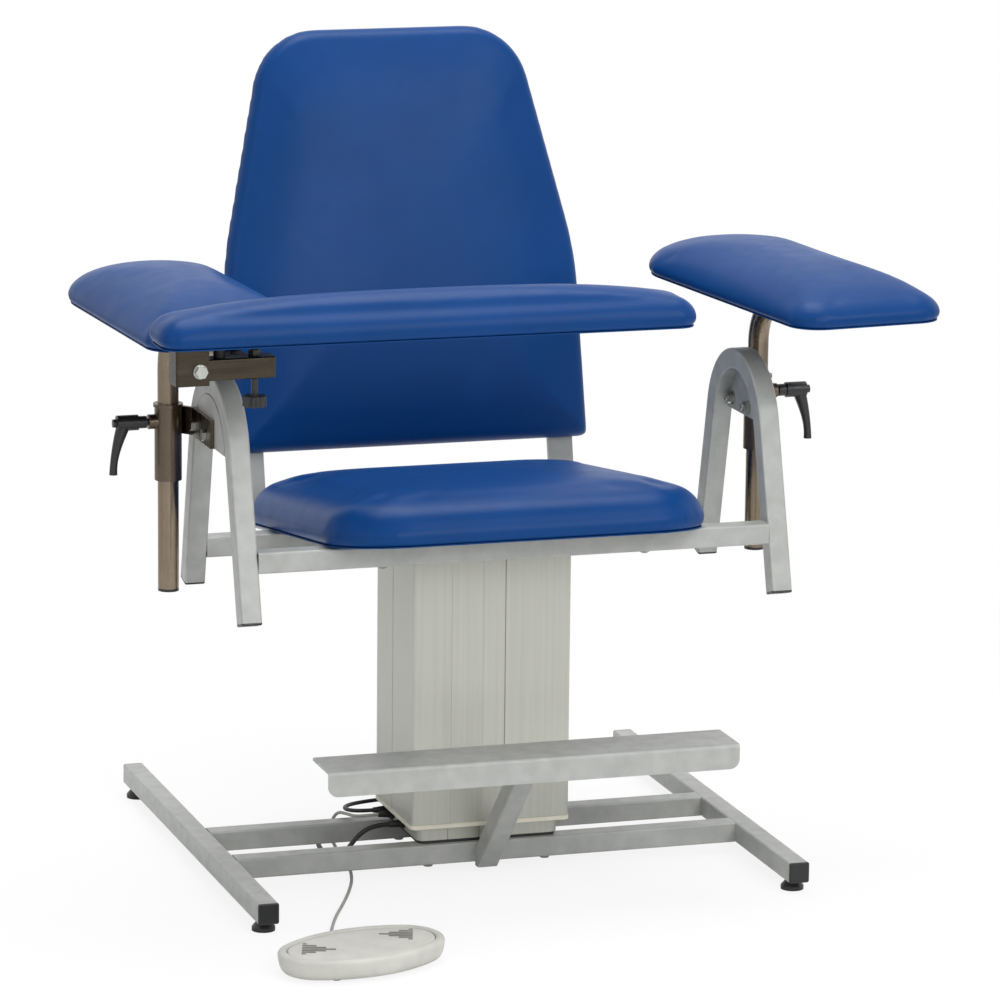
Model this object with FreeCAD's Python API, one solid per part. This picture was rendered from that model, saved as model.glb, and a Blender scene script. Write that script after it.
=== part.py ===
import FreeCAD, Part
import math
import os

# A phlebotomy chair on an electric lifting column.
# Millimetres. The floor is z = 0, the column's axis is x = y = 0, the sitter faces -y,
# and left and right are as seen from in front, so that +x is right.

V = FreeCAD.Vector
X_WAY = V(1, 0, 0)
Y_WAY = V(0, 1, 0)
Z_WAY = V(0, 0, 1)
RIGHT_ANGLE = 90
HALF_TURN = 180

# Square frame tube and its fittings
TUBE = 25.4
TUBE_WALL = 2.0
TUBE_CORNER = 2.5
CAP_THICK = 3.0
CAP_CHAMFER = 1.2
CAP_PLUG = 12.0
CAP_GAP = 0.2
OVERRUN = 10.0
SLIDE_GAP = 0.3
FIT_GAP = 0.1

# Base frame
BASE_WIDTH = 691.2
RAIL_FRONT = -269.0
RAIL_REAR = 398.0
GLIDE_HEIGHT = 13.0
CROSS_SPACING = 127.0
GLIDE_INSET = 22.0
GLIDE_RADIUS = 14.0
GLIDE_FLANGE = 4.5
GLIDE_NECK_RADIUS = 7.0
GLIDE_STEM_RADIUS = 4.0
GLIDE_STEM_RISE = 14.0

# Footrest
FOOT_PLATE_WIDTH = 512.0
FOOT_PLATE_SHIFT = -8.0
FOOT_PLATE_TOP = 196.5
FOOT_PLATE_THICK = 3.0
FOOT_PLATE_REAR = -212.0
FOOT_PLATE_FRONT = -285.0
FOOT_LIP_BOTTOM = 166.0
FOOT_BEND = 5.0
FOOT_LIP_CORNER = 12.0
FOOT_PLATE_CORNER = 3.0
STRUT_SHIFT = -5.5
STRUT_SLOPE = 45.0
STRUT_HEIGHT_AT_RAIL = 15.0
STRUT_FOOT = 9.0

# Lifting column
COLUMN_WIDTH = 201.0
COLUMN_WALL = 4.0
COLUMN_PLAY = 5.5
COLUMN_CORNER = 4.0
COLUMN_BOTTOM = 65.0
COLUMN_TOP = 378.0
GROOVE_FAR = 52.0
GROOVE_NEAR = 12.0
COLUMN_SIDE_GROOVE = 8.0
GROOVE_WIDTH = 1.6
GROOVE_DEPTH = 1.6
RIM_HEIGHT = 5.0
RIM_PROUD = 1.5
RIM_CORNER = 8.0
TOP_PLATE_THICK = 15.6
TOP_PLATE_MARGIN = 0.8
INNER_WIDTH = 180.0
INNER_WALL = 4.0
INNER_CORNER = 10.0
INNER_TOP = 340.0
FOOT_THICK = 4.0
FOOT_MARGIN = 1.5
FOOT_BOLT_EDGE = 5.0
BOLT_SPACING_X = 150.0
COLUMN_BOLT_RADIUS = 4.0
BOLT_HEAD_RADIUS = 7.5
BOLT_HEAD = 4.0
MOTOR_RADIUS = 27.0
MOTOR_TOP = 190.0
MOTOR_OFFSET = 52.0
GEARBOX_LENGTH = 110.0
GEARBOX_WIDTH = 62.0
GEARBOX_HEIGHT = 36.0
SCREW_RADIUS = 10.0
SCREW_TOP = 352.0
NUT_RADIUS = 19.0
NUT_BOTTOM = 128.0
NUT_HEIGHT = 26.0
PUSH_RADIUS = 16.0
PUSH_BORE = 13.0

# Arches, cross tubes and bearers
ARCH_WIDTH = 690.6
ARCH_RADIUS = 99.0
ARCH_CENTRE_Y = -41.0
ARCH_CENTRE_Z = 532.0
FRONT_LEAN = 16.0
REAR_LEAN = 13.0
FRONT_FOOT_Z = 360.0
REAR_FOOT_Z = 355.0
GUSSET_THICK = 6.0
GUSSET_BOTTOM = 545.0
FRONT_TUBE_TOP = 439.5
FRONT_TUBE_REAR = -150.6
REAR_TUBE_FRONT = 66.5
SEAT_TILT = 7.6
BEARER_THICK = 8.0
BEARER_SPACING = 140.0
BEARER_REACH = -75.0
BEARER_NOSE = 22.0

# Seat
SEAT_BOARD_MARGIN = 9.0
SEAT_WIDTH = 478.0
SEAT_FRONT = -98.0
SEAT_LENGTH = 494.0
SEAT_CORNER = 90.0
SEAT_REAR_CORNER = 85.0
BOARD_THICK = 12.0
SEAT_FOAM = 42.0
SEAT_CROWN = 13.5
SEAT_ROUND = 26.0

# Back
BACK_RECLINE = 12.5
BACK_BEHIND_SEAT = 48.1
BACK_Z = 460.0
BACK_LENGTH = 537.0
BACK_HALF_BOTTOM = 229.0
BACK_HALF_HIP = 232.0
BACK_HIP = 237.0
BACK_HALF_SHOULDER = 186.0
BACK_SHOULDER = 446.0
BACK_TOP_CORNER = 86.0
BACK_FOOT_CORNER = 10.0
BACK_BOARD_MARGIN = 7.0
BACK_FOAM = 36.0
BACK_CROWN = 6.0
BACK_ROUND = 14.0
POST_BAR_WIDTH = 32.0
POST_BAR_THICK = 8.0
POST_BAR_SPACING = 410.0
POST_BAR_RISE = 260.0
POST_BAR_BEND = 22.0

# Arm posts, sleeves and clamp levers
POST_X = 377.7
POST_Y = 31.3
POST_TUBE = 25.4
POST_WALL = 2.0
POST_BEND = 60.0
POST_BOTTOM_LEFT = 356.0
POST_BOTTOM_RIGHT = 365.0
POST_PLUG_THICK = 3.0
SLEEVE_RADIUS = 16.5
SLEEVE_BOTTOM = 490.0
SLEEVE_TOP = 584.0
COLLAR_RADIUS = 18.0
COLLAR_HEIGHT = 4.0
STUD_Z = 562.0
STUD_RADIUS = 4.0
BOSS_REACH = 24.9
BOSS_RADIUS = 9.0
BRACKET_THICK = 5.0
BRACKET_HEIGHT = 34.0
BRACKET_FRONT = -66.0
BRACKET_BEND_Y = 24.0
BRACKET_END_X = 368.0
BRACKET_END_Y = 52.0
BOLT_REAR_Y = 14.5
BOLT_REAR_Z = 559.0
BOLT_FRONT_Y = -40.0
BOLT_FRONT_Z = 557.0
M8_RADIUS = 4.0
M8_NUT_ACROSS = 13.0
M8_NUT_HEIGHT = 6.5
M8_WASHER_RADIUS = 8.5
M8_WASHER = 1.6
LEVER_HUB_START = 27.5
LEVER_HUB_LENGTH = 36.0
LEVER_HUB_RADIUS = 9.5
LEVER_COLLAR_RADIUS = 7.5
LEVER_COLLAR_LENGTH = 10.0
LEVER_BUTTON_RADIUS = 5.0
LEVER_BUTTON_REACH = 5.0
LEVER_DROP = 63.0
LEVER_FLARE = 14.0
LEVER_ROOT = 9.0
LEVER_TIP = 5.0

# Arm pads
PAD_WIDTH = 203.0
PAD_BOTTOM = 697.0
PAD_REAR_LEFT = 168.0
PAD_REAR_RIGHT = 187.0
PAD_FRONT_LEFT = 271.0
PAD_FRONT_RIGHT = 316.5
PAD_FRONT_CORNER = 40.0
PAD_REAR_CORNER = 98.0
PAD_FOAM = 18.0
PAD_CROWN = 24.5
PAD_ROUND = 18.0
PAD_BOARD_MARGIN = 5.0
SWIVEL_LEFT = 3.0
SWIVEL_RIGHT = 6.2
ARM_TUBE_LEFT = 295.6
ARM_TUBE_RIGHT = 185.0

# Front bar, in the left arm's own straight position with the post at x = y = 0
BAR_TUBE_LEFT = -81.0
BAR_TUBE_RIGHT = 28.5
BAR_PIVOT_X = -61.2
BAR_PIVOT_RADIUS = 4.0
BAR_BRACKET_LEFT = -89.4
BAR_BRACKET_RIGHT = -49.9
BAR_BRACKET_DROP = 17.0
BAR_PLATE = 3.0
BAR_PAD_BOTTOM = 717.0
BAR_CENTRE_X = 207.6
BAR_CENTRE_Y = -338.0
BAR_HALF_LENGTH = 325.0
BAR_HALF_DEPTH = 47.5
BAR_CORNER = 28.0
BAR_PAD_TURN = -3.0
BAR_FOAM = 21.0
BAR_CROWN = 22.0
BAR_ROUND = 18.0
BAR_BOARD_MARGIN = 5.0
REST_PAD_X = -33.0
REST_PAD_RADIUS = 7.0
SCREW_X = 9.5
THUMB_RADIUS = 4.0
THUMB_DROP = 22.0
KNOB_RADIUS = 14.0
KNOB_HEIGHT = 12.5
KNOB_LOBES = 8
TIP_RADIUS = 6.5

# Foot pedal
PEDAL_X = -261.4
PEDAL_Y = -417.9
PEDAL_TURN = 15.0
PEDAL_HALF_LENGTH = 105.0
PEDAL_HALF_WIDTH = 63.0
PEDAL_END_RADIUS = 48.0
PEDAL_HEIGHT = 28.0
PEDAL_FOOT = 3.0
PEDAL_RIM = 14.0
PEDAL_RECESS = 3.0
PEDAL_FLOOR = 4.0
PEDAL_EDGE = 5.0
PEDAL_ROCK_Z = 12.0
PEDAL_BOOT_RADIUS = 4.5
ROCKER_GAP = 1.2
ROCKER_THICK = 4.0
PIVOT_RADIUS = 3.0
ARROW_TURN = -17.0
ARROW_RIBS = 7
ARROW_LENGTH = 40.0
ARROW_BASE = 46.0
ARROW_REACH = 60.0
ARROW_RIB_HEIGHT = 0.8
RUBBER_RADIUS = 6.0

# Cables. The points are each route's own, chosen by hand.
PEDAL_CABLE = 4.0
LINK_CABLE = 5.0
MAINS_CABLE = 6.0
GLAND_RADIUS = 6.5
GLAND_FLANGE = 4.0
GLAND_TIP_RADIUS = 4.0
GLAND_LENGTH = 20.0
RELIEF_STEP = 1.5
RELIEF_WALL = 1.0
BEND_SHARE = 0.45
PEDAL_ROUTE = (
    (-110.0, 36.0, 50.0), (-124.0, 36.0, 50.0), (-136.0, 50.0, 46.0), (-140.0, 74.0, 43.5),
    (-145.0, 98.0, 40.0), (-149.0, 112.0, 24.0), (-152.0, 104.0, 7.0), (-154.0, 78.0, 2.2),
    (-157.0, 38.0, 2.2), (-162.0, -15.0, 2.2), (-173.0, -70.0, 2.2), (-192.0, -123.0, 2.2),
    (-215.0, -176.0, 2.2), (-240.0, -229.0, 2.2), (-259.0, -280.0, 2.3), (-271.0, -320.0, 6.5),
    (-276.0, -350.0, 9.5),
)
LINK_ROUTE = (
    (-110.0, 58.0, 50.0), (-124.0, 58.0, 50.0), (-137.0, 72.0, 48.0), (-138.0, 94.0, 45.5),
    (-126.0, 114.0, 43.5), (-104.0, 126.0, 42.5), (-80.0, 126.0, 44.0), (-60.0, 116.0, 47.5),
    (-50.0, 105.0, 50.0), (-50.0, 90.0, 50.0),
)
MAINS_ROUTE = (
    (-110.0, -10.0, 50.0), (-129.0, -10.0, 50.0), (-150.0, -17.0, 42.0), (-165.0, -22.0, 26.0),
    (-174.0, -12.0, 9.0), (-177.0, 14.0, 3.4), (-177.0, 52.0, 3.2), (-172.0, 96.0, 3.2),
    (-150.0, 136.0, 3.2), (-108.0, 162.0, 3.2), (-58.0, 181.0, 3.2), (-10.0, 199.0, 3.2),
    (30.0, 209.5, 3.2), (61.0, 209.5, 3.2),
)
# The stored loops of the mains lead start where its route ends, and its tail leads to the plug
COIL_OUTER = 41.5
COIL_INNER = 24.5
COIL_LAYERS = 4
COIL_TURNS = 10.25
COIL_GAP = 0.6
COIL_STEPS = 4
# Share of a turn over which the direction along the coil is taken
COIL_PROBE = 0.0005
# Points on each edge of the coil, and diameters along it from which two of them are compared
GAP_POINTS = 6
GAP_APART = 4
TAIL_ROUTE = (
    (108.5, 277.0, 23.0), (107.0, 305.0, 17.5), (100.0, 331.0, 10.5), (87.0, 354.0, 10.5),
)
PLUG_LENGTH = 34.0
PLUG_WIDTH = 26.0
PLUG_HEIGHT = 20.0
PLUG_NECK = 12.0
PLUG_EDGE = 3.0
PIN_LENGTH = 17.0
PIN_WIDTH = 6.0
PIN_THICK = 1.6
PIN_SPACING = 12.7
EARTH_RADIUS = 2.4

# Sections of an upholstered pad: share of its height, share of its edge rounding drawn in
PAD_SIDE_SHARES = (
    (0.0, 0.30), (0.18, 0.08), (0.42, 0.0), (0.64, 0.08), (0.81, 0.28), (0.93, 0.58), (1.0, 1.0),
)
# Sections of its crown: share of the crown's height, share of the outline
PAD_CROWN_SHARES = ((0.22, 0.93), (0.45, 0.84), (0.76, 0.64), (0.93, 0.42), (1.0, 0.18))
# A clamp lever's sections: share of its drop, share from its root's radius to its tip's
LEVER_SHARES = ((0.0, 0.0), (0.3, 0.5), (0.65, 1.0), (1.0, 1.0))
# The plug's neck and shoulder: share of its full width and height
PLUG_NECK_SHARE = 0.55
PLUG_SHOULDER_SHARE = 0.8


# Places worked out from the sizes above
CROSS_TOP = GLIDE_HEIGHT + TUBE
SIDE_RAIL_X = (BASE_WIDTH - TUBE) / 2
CROSS_FRONT_Y = -CROSS_SPACING / 2
CROSS_REAR_Y = CROSS_SPACING / 2
FOOT_TOP = CROSS_TOP + FOOT_THICK
INNER_DEPTH = CROSS_SPACING + 2 * (FOOT_BOLT_EDGE + FOOT_MARGIN)
COLUMN_DEPTH = INNER_DEPTH + 2 * (COLUMN_WALL + COLUMN_PLAY)
ARCH_X = (ARCH_WIDTH - TUBE) / 2
ARCH_INNER = ARCH_RADIUS - TUBE
ARM_TUBE_Z = PAD_BOTTOM - POST_TUBE / 2
TOP_PLATE_TOP = COLUMN_TOP + TOP_PLATE_THICK
BAR_TUBE_Y = -ARM_TUBE_LEFT - TUBE / 2
SEAT_REACH = (SEAT_FRONT + SEAT_LENGTH) * math.cos(math.radians(SEAT_TILT))
BACK_Y = FRONT_TUBE_REAR + SEAT_REACH + BACK_BEHIND_SEAT
COLUMN_GROOVES = (-GROOVE_FAR, -GROOVE_NEAR, GROOVE_NEAR)
BOLT_PLACES = ((BOLT_REAR_Y, BOLT_REAR_Z), (BOLT_FRONT_Y, BOLT_FRONT_Z))


def turn(degrees):
    """A unit vector's two parts at an angle."""
    return math.cos(math.radians(degrees)), math.sin(math.radians(degrees))


def flat(z=0):
    """Drawing plane: seen from above, at a height."""
    return lambda a, b: V(a, b, z)


def side(x):
    """Drawing plane: seen from the side, y then z."""
    return lambda a, b: V(x, a, b)


def corner_wire(points, radii, plane):
    """A closed wire through 2D points, each corner rounded by its radius."""
    count = len(points)
    starts, middles, ends = [], [], []
    for i, (px, py) in enumerate(points):
        ax, ay = points[i - 1]
        bx, by = points[(i + 1) % count]
        back = math.hypot(ax - px, ay - py)
        ahead = math.hypot(bx - px, by - py)
        ux, uy = (ax - px) / back, (ay - py) / back
        wx, wy = (bx - px) / ahead, (by - py) / ahead
        radius = radii[i] if isinstance(radii, (list, tuple)) else radii
        if radius <= 0:
            starts.append((px, py))
            middles.append(None)
            ends.append((px, py))
            continue
        half = math.acos(max(-1.0, min(1.0, ux * wx + uy * wy))) / 2
        reach = radius / math.tan(half)
        mx, my = ux + wx, uy + wy
        size = math.hypot(mx, my)
        far = radius / math.sin(half) - radius
        starts.append((px + ux * reach, py + uy * reach))
        middles.append((px + mx / size * far, py + my / size * far))
        ends.append((px + wx * reach, py + wy * reach))
    edges = []
    for i in range(count):
        if middles[i] is not None:
            edges.append(Part.Arc(plane(*starts[i]), plane(*middles[i]), plane(*ends[i])).toShape())
        here, there = ends[i], starts[(i + 1) % count]
        if math.hypot(there[0] - here[0], there[1] - here[1]) > FIT_GAP * FIT_GAP:
            edges.append(Part.LineSegment(plane(*here), plane(*there)).toShape())
    return Part.Wire(edges)


def rectangle(width, depth):
    x, y = width / 2, depth / 2
    return [(-x, -y), (x, -y), (x, y), (-x, y)]


def oval_wire(half_length, half_depth, end_radius, plane):
    """Four tangent arcs: two long sides and two round ends."""
    reach = half_length - end_radius
    rise = (reach ** 2 + half_depth ** 2 - end_radius ** 2) / (2 * (half_depth - end_radius))
    drop = rise - half_depth
    size = math.hypot(reach, drop)
    ux, uy = reach / size, drop / size
    jx, jy = reach + end_radius * ux, end_radius * uy
    corners = [(-jx, -jy), (jx, -jy), (jx, jy), (-jx, jy)]
    mids = [(0, -half_depth), (half_length, 0), (0, half_depth), (-half_length, 0)]
    edges = [Part.Arc(plane(*corners[i]), plane(*mids[i]), plane(*corners[(i + 1) % len(corners)])).toShape()
             for i in range(len(corners))]
    return Part.Wire(edges)


def prism(wire, way):
    return Part.Face(wire).extrude(way)


def block(x, y, z):
    """A box from three pairs of limits."""
    return Part.makeBox(x[1] - x[0], y[1] - y[0], z[1] - z[0], V(x[0], y[0], z[0]))


def rod(radius, start, end):
    return Part.makeCylinder(radius, (end - start).Length, start, end - start)


def cone(radius_start, radius_end, start, end):
    return Part.makeCone(radius_start, radius_end, (end - start).Length, start, end - start)


def square_tube(start, end, size=TUBE, wall=TUBE_WALL):
    """A hollow square tube with rounded edges between the middles of its two ends."""
    way = end - start
    length = way.Length
    outer = prism(corner_wire(rectangle(size, size), TUBE_CORNER, flat()), V(0, 0, length))
    inside = size - 2 * wall
    hollow = prism(corner_wire(rectangle(inside, inside), 0, flat(-OVERRUN)), V(0, 0, length + 2 * OVERRUN))
    tube = outer.cut(hollow)
    if abs(way.x) > abs(way.y):
        tube.rotate(V(), Y_WAY, RIGHT_ANGLE)
    elif abs(way.y) > 0:
        tube.rotate(V(), X_WAY, -RIGHT_ANGLE)
    tube.translate(start)
    return tube


def tube_cap(centre, way):
    """A black plastic cap: a chamfered head over the tube's end and a plug inside it.

    It is drawn looking along +z and turned to point out of the tube.
    """
    head = prism(corner_wire(rectangle(TUBE, TUBE), TUBE_CORNER, flat()), V(0, 0, CAP_THICK))
    rims = [edge for edge in head.Edges if abs(edge.CenterOfMass.z - CAP_THICK) < FIT_GAP]
    head = head.makeChamfer(CAP_CHAMFER, rims)
    inside = TUBE - 2 * TUBE_WALL - 2 * CAP_GAP
    plug = prism(corner_wire(rectangle(inside, inside), 0, flat(-CAP_PLUG)), V(0, 0, CAP_PLUG))
    cap = head.fuse(plug)
    cap.Placement = FreeCAD.Placement(centre, FreeCAD.Rotation(Z_WAY, way))
    return cap


def edge_way(edge):
    """An edge's direction where it starts."""
    return edge.tangentAt(edge.FirstParameter)


def mirrored(shape):
    return shape.mirror(V(), X_WAY)


def hexagon(across, height, start, way):
    """A nut or bolt head, standing on a point along a direction."""
    radius = across / 2 / math.cos(math.radians(RIGHT_ANGLE / 3))
    corners = [(radius * turn(i * HALF_TURN / 3)[0], radius * turn(i * HALF_TURN / 3)[1]) for i in range(6)]
    nut = prism(corner_wire(corners, 0, flat()), V(0, 0, height))
    nut.Placement = FreeCAD.Placement(start, FreeCAD.Rotation(Z_WAY, way))
    return nut


def smooth_tube(edges, radius):
    """A round bar along tangent edges."""
    wire = Part.Wire(edges)
    first = wire.Edges[0]
    start = first.valueAt(first.FirstParameter)
    way = first.tangentAt(first.FirstParameter)
    ring = Part.Wire([Part.Circle(start, way, radius).toShape()])
    return wire.makePipeShell([ring], True, False)


def upholstered(outline, foam, crown, edge_round):
    """A crowned pad that draws in towards its board: sections of one outline, lofted."""
    wires = []
    for height, share in PAD_SIDE_SHARES:
        wires.append(outline(edge_round * share, 1.0, foam * height))
    for height, size in PAD_CROWN_SHARES:
        wires.append(outline(edge_round, size, foam + crown * height))
    return Part.makeLoft(wires, True, True)


def shrunk(points, inset, size):
    """Outline points drawn in by an inset, and scaled, about the middle of their extent."""
    xs = [p[0] for p in points]
    ys = [p[1] for p in points]
    mx, my = (max(xs) + min(xs)) / 2, (max(ys) + min(ys)) / 2
    hx, hy = (max(xs) - min(xs)) / 2, (max(ys) - min(ys)) / 2
    kx, ky = (hx - inset) / hx * size, (hy - inset) / hy * size
    return [(mx + (x - mx) * kx, my + (y - my) * ky) for x, y in points]


# The base frame

def side_rail(x):
    z = GLIDE_HEIGHT + TUBE / 2
    return square_tube(V(x, RAIL_FRONT, z), V(x, RAIL_REAR, z)).cut(glide_holes(x))


def glide_places(x):
    return [(x, RAIL_FRONT + GLIDE_INSET), (x, RAIL_REAR - GLIDE_INSET)]


def glide_holes(x):
    holes = [rod(GLIDE_STEM_RADIUS + FIT_GAP, V(gx, gy, 0), V(gx, gy, GLIDE_HEIGHT + OVERRUN))
             for gx, gy in glide_places(x)]
    return Part.makeCompound(holes)


def cross_rail(y):
    inner = SIDE_RAIL_X - TUBE / 2
    z = GLIDE_HEIGHT + TUBE / 2
    rail = square_tube(V(-inner, y, z), V(inner, y, z))
    for x in (-BOLT_SPACING_X / 2, BOLT_SPACING_X / 2):
        rail = rail.cut(rod(COLUMN_BOLT_RADIUS + FIT_GAP, V(x, y, 0), V(x, y, CROSS_TOP + OVERRUN)))
    return rail


def rail_end_caps():
    caps = []
    for x in (-SIDE_RAIL_X, SIDE_RAIL_X):
        for y, way in ((RAIL_FRONT, -Y_WAY), (RAIL_REAR, Y_WAY)):
            caps.append(tube_cap(V(x, y, GLIDE_HEIGHT + TUBE / 2), way))
    return Part.makeCompound(caps)


def levelling_glides():
    glides = []
    for x in (-SIDE_RAIL_X, SIDE_RAIL_X):
        for gx, gy in glide_places(x):
            disc = rod(GLIDE_RADIUS, V(gx, gy, 0), V(gx, gy, GLIDE_FLANGE))
            neck = cone(GLIDE_RADIUS, GLIDE_NECK_RADIUS, V(gx, gy, GLIDE_FLANGE), V(gx, gy, GLIDE_HEIGHT))
            stem = rod(GLIDE_STEM_RADIUS, V(gx, gy, GLIDE_HEIGHT), V(gx, gy, GLIDE_HEIGHT + GLIDE_STEM_RISE))
            glides.append(disc.fuse([neck, stem]))
    return Part.makeCompound(glides)


# The footrest

def footrest_plate():
    top = FOOT_PLATE_TOP
    thick = FOOT_PLATE_THICK
    outline = [(FOOT_PLATE_REAR, top), (FOOT_PLATE_FRONT, top), (FOOT_PLATE_FRONT, FOOT_LIP_BOTTOM),
               (FOOT_PLATE_FRONT + thick, FOOT_LIP_BOTTOM), (FOOT_PLATE_FRONT + thick, top - thick),
               (FOOT_PLATE_REAR, top - thick)]
    radii = [0, FOOT_BEND, 0, 0, FOOT_BEND - thick, 0]
    left = FOOT_PLATE_SHIFT - FOOT_PLATE_WIDTH / 2
    plate = prism(corner_wire(outline, radii, side(left)), V(FOOT_PLATE_WIDTH, 0, 0))
    lip_edges = []
    for edge in plate.Edges:
        if abs(edge.CenterOfMass.z - FOOT_LIP_BOTTOM) < FIT_GAP and abs(edge_way(edge).y) > FIT_GAP:
            lip_edges.append(edge)
    plate = plate.makeFillet(FOOT_LIP_CORNER, lip_edges)
    rear_edges = []
    for edge in plate.Edges:
        if abs(edge.CenterOfMass.y - FOOT_PLATE_REAR) < FIT_GAP and abs(edge_way(edge).z) > FIT_GAP:
            rear_edges.append(edge)
    return plate.makeFillet(FOOT_PLATE_CORNER, rear_edges)


def footrest_strut():
    """A square tube that rises forward from the front cross rail to the plate."""
    rail_face = CROSS_FRONT_Y - TUBE / 2
    under = FOOT_PLATE_TOP - FOOT_PLATE_THICK
    ahead, up = turn(STRUT_SLOPE)
    middle_y, middle_z = rail_face, STRUT_HEIGHT_AT_RAIL

    def on_edge(offset, z):
        """The strut's edge line at an offset square to it: y at a height."""
        y0, z0 = middle_y + offset * up, middle_z + offset * ahead
        return y0 - (z - z0) * ahead / up

    def on_edge_z(offset, y):
        y0, z0 = middle_y + offset * up, middle_z + offset * ahead
        return z0 - (y - y0) * up / ahead

    half = TUBE / 2
    outline = [(rail_face, on_edge_z(half, rail_face)), (on_edge(half, under), under),
               (on_edge(-half, under), under), (on_edge(-half, STRUT_FOOT), STRUT_FOOT),
               (rail_face, STRUT_FOOT)]
    left = STRUT_SHIFT - half
    outer = prism(corner_wire(outline, 0, side(left)), V(TUBE, 0, 0))
    long_edges = []
    for edge in outer.Edges:
        if abs(abs(edge_way(edge).y) - ahead) < FIT_GAP and abs(edge_way(edge).x) < FIT_GAP:
            long_edges.append(edge)
    outer = outer.makeFillet(TUBE_CORNER, long_edges)
    bore = half - TUBE_WALL
    reach = V(0, -ahead, up) * (under / up + OVERRUN)
    sunk = V(0, ahead, -up) * OVERRUN * 2
    inner = [V(left + TUBE_WALL, middle_y + bore * up, middle_z + bore * ahead) + sunk,
             V(left + TUBE_WALL, middle_y - bore * up, middle_z - bore * ahead) + sunk]
    inner += [inner[1] + V(TUBE - 2 * TUBE_WALL, 0, 0), inner[0] + V(TUBE - 2 * TUBE_WALL, 0, 0)]
    hollow = Part.Face(Part.makePolygon(inner + [inner[0]])).extrude(reach - sunk)
    return outer.cut(hollow)


# The lifting column

def column_bolts():
    bolts = []
    for y in (CROSS_FRONT_Y, CROSS_REAR_Y):
        for x in (-BOLT_SPACING_X / 2, BOLT_SPACING_X / 2):
            low, high = V(x, y, GLIDE_HEIGHT - BOLT_HEAD), V(x, y, GLIDE_HEIGHT)
            head = cone(BOLT_HEAD_RADIUS - BOLT_HEAD / 2, BOLT_HEAD_RADIUS, low, high)
            bolts.append(head.fuse(rod(COLUMN_BOLT_RADIUS, V(x, y, GLIDE_HEIGHT), V(x, y, FOOT_TOP))))
    return Part.makeCompound(bolts)


def column_foot_plate():
    plate = prism(corner_wire(rectangle(INNER_WIDTH - 2 * FOOT_MARGIN, INNER_DEPTH - 2 * FOOT_MARGIN),
                              INNER_CORNER, flat(CROSS_TOP)), V(0, 0, FOOT_THICK))
    for y in (CROSS_FRONT_Y, CROSS_REAR_Y):
        for x in (-BOLT_SPACING_X / 2, BOLT_SPACING_X / 2):
            plate = plate.cut(rod(COLUMN_BOLT_RADIUS + FIT_GAP, V(x, y, 0), V(x, y, FOOT_TOP + OVERRUN)))
    return plate


def gland_ports():
    """Where the cables leave the column: side, then height, then which face."""
    return {
        "mains": (V(-INNER_WIDTH / 2, MAINS_ROUTE[0][1], MAINS_ROUTE[0][2]), -X_WAY, MAINS_CABLE),
        "pedal": (V(-INNER_WIDTH / 2, PEDAL_ROUTE[0][1], PEDAL_ROUTE[0][2]), -X_WAY, PEDAL_CABLE),
        "link": (V(-INNER_WIDTH / 2, LINK_ROUTE[0][1], LINK_ROUTE[0][2]), -X_WAY, LINK_CABLE),
        "link_end": (V(LINK_ROUTE[-1][0], INNER_DEPTH / 2, LINK_ROUTE[-1][2]), Y_WAY, LINK_CABLE),
    }


def column_inner_profile():
    """The fixed extrusion, with its seams at the front."""
    height = V(0, 0, INNER_TOP - FOOT_TOP)
    outer = prism(corner_wire(rectangle(INNER_WIDTH, INNER_DEPTH), INNER_CORNER, flat(FOOT_TOP)), height)
    hollow = prism(corner_wire(rectangle(INNER_WIDTH - 2 * INNER_WALL, INNER_DEPTH - 2 * INNER_WALL),
                               INNER_CORNER - INNER_WALL, flat(FOOT_TOP)), height)
    profile = outer.cut(hollow)
    for x in COLUMN_GROOVES:
        profile = profile.cut(block((x - GROOVE_WIDTH / 2, x + GROOVE_WIDTH / 2),
                                    (-INNER_DEPTH / 2 - OVERRUN, -INNER_DEPTH / 2 + GROOVE_DEPTH),
                                    (FOOT_TOP, INNER_TOP)))
    for port, way, cable in gland_ports().values():
        profile = profile.cut(rod(GLAND_TIP_RADIUS + FIT_GAP, port - way * (INNER_WALL + OVERRUN),
                                  port + way * OVERRUN))
    return profile


def gland(port, way, cable):
    """A flange on the wall, a spigot through it and a tapered relief round the cable."""
    spigot = rod(GLAND_TIP_RADIUS, port - way * (INNER_WALL + GLAND_FLANGE), port)
    flange = rod(GLAND_RADIUS, port, port + way * GLAND_FLANGE)
    relief = cone(GLAND_RADIUS - RELIEF_STEP, cable / 2 + RELIEF_WALL, port + way * GLAND_FLANGE,
                  port + way * GLAND_LENGTH)
    return spigot.fuse([flange, relief])


def cable_glands():
    return Part.makeCompound([gland(port, way, cable) for port, way, cable in gland_ports().values()])


def lift_motor():
    """A gearbox on the foot plate with an upright motor beside the screw."""
    box = [(x + MOTOR_OFFSET / 2, y) for x, y in rectangle(GEARBOX_LENGTH, GEARBOX_WIDTH)]
    gearbox = prism(corner_wire(box, INNER_CORNER, flat(FOOT_TOP)), V(0, 0, GEARBOX_HEIGHT))
    gearbox_top = FOOT_TOP + GEARBOX_HEIGHT
    bearing = rod(SCREW_RADIUS + INNER_WALL, V(0, 0, gearbox_top), V(0, 0, gearbox_top + INNER_WALL))
    seat = rod(SCREW_RADIUS + FIT_GAP, V(0, 0, gearbox_top - GEARBOX_HEIGHT / 2),
               V(0, 0, gearbox_top + OVERRUN))
    motor = rod(MOTOR_RADIUS, V(MOTOR_OFFSET, 0, gearbox_top), V(MOTOR_OFFSET, 0, MOTOR_TOP))
    return gearbox.fuse([bearing, motor]).cut(seat)


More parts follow.
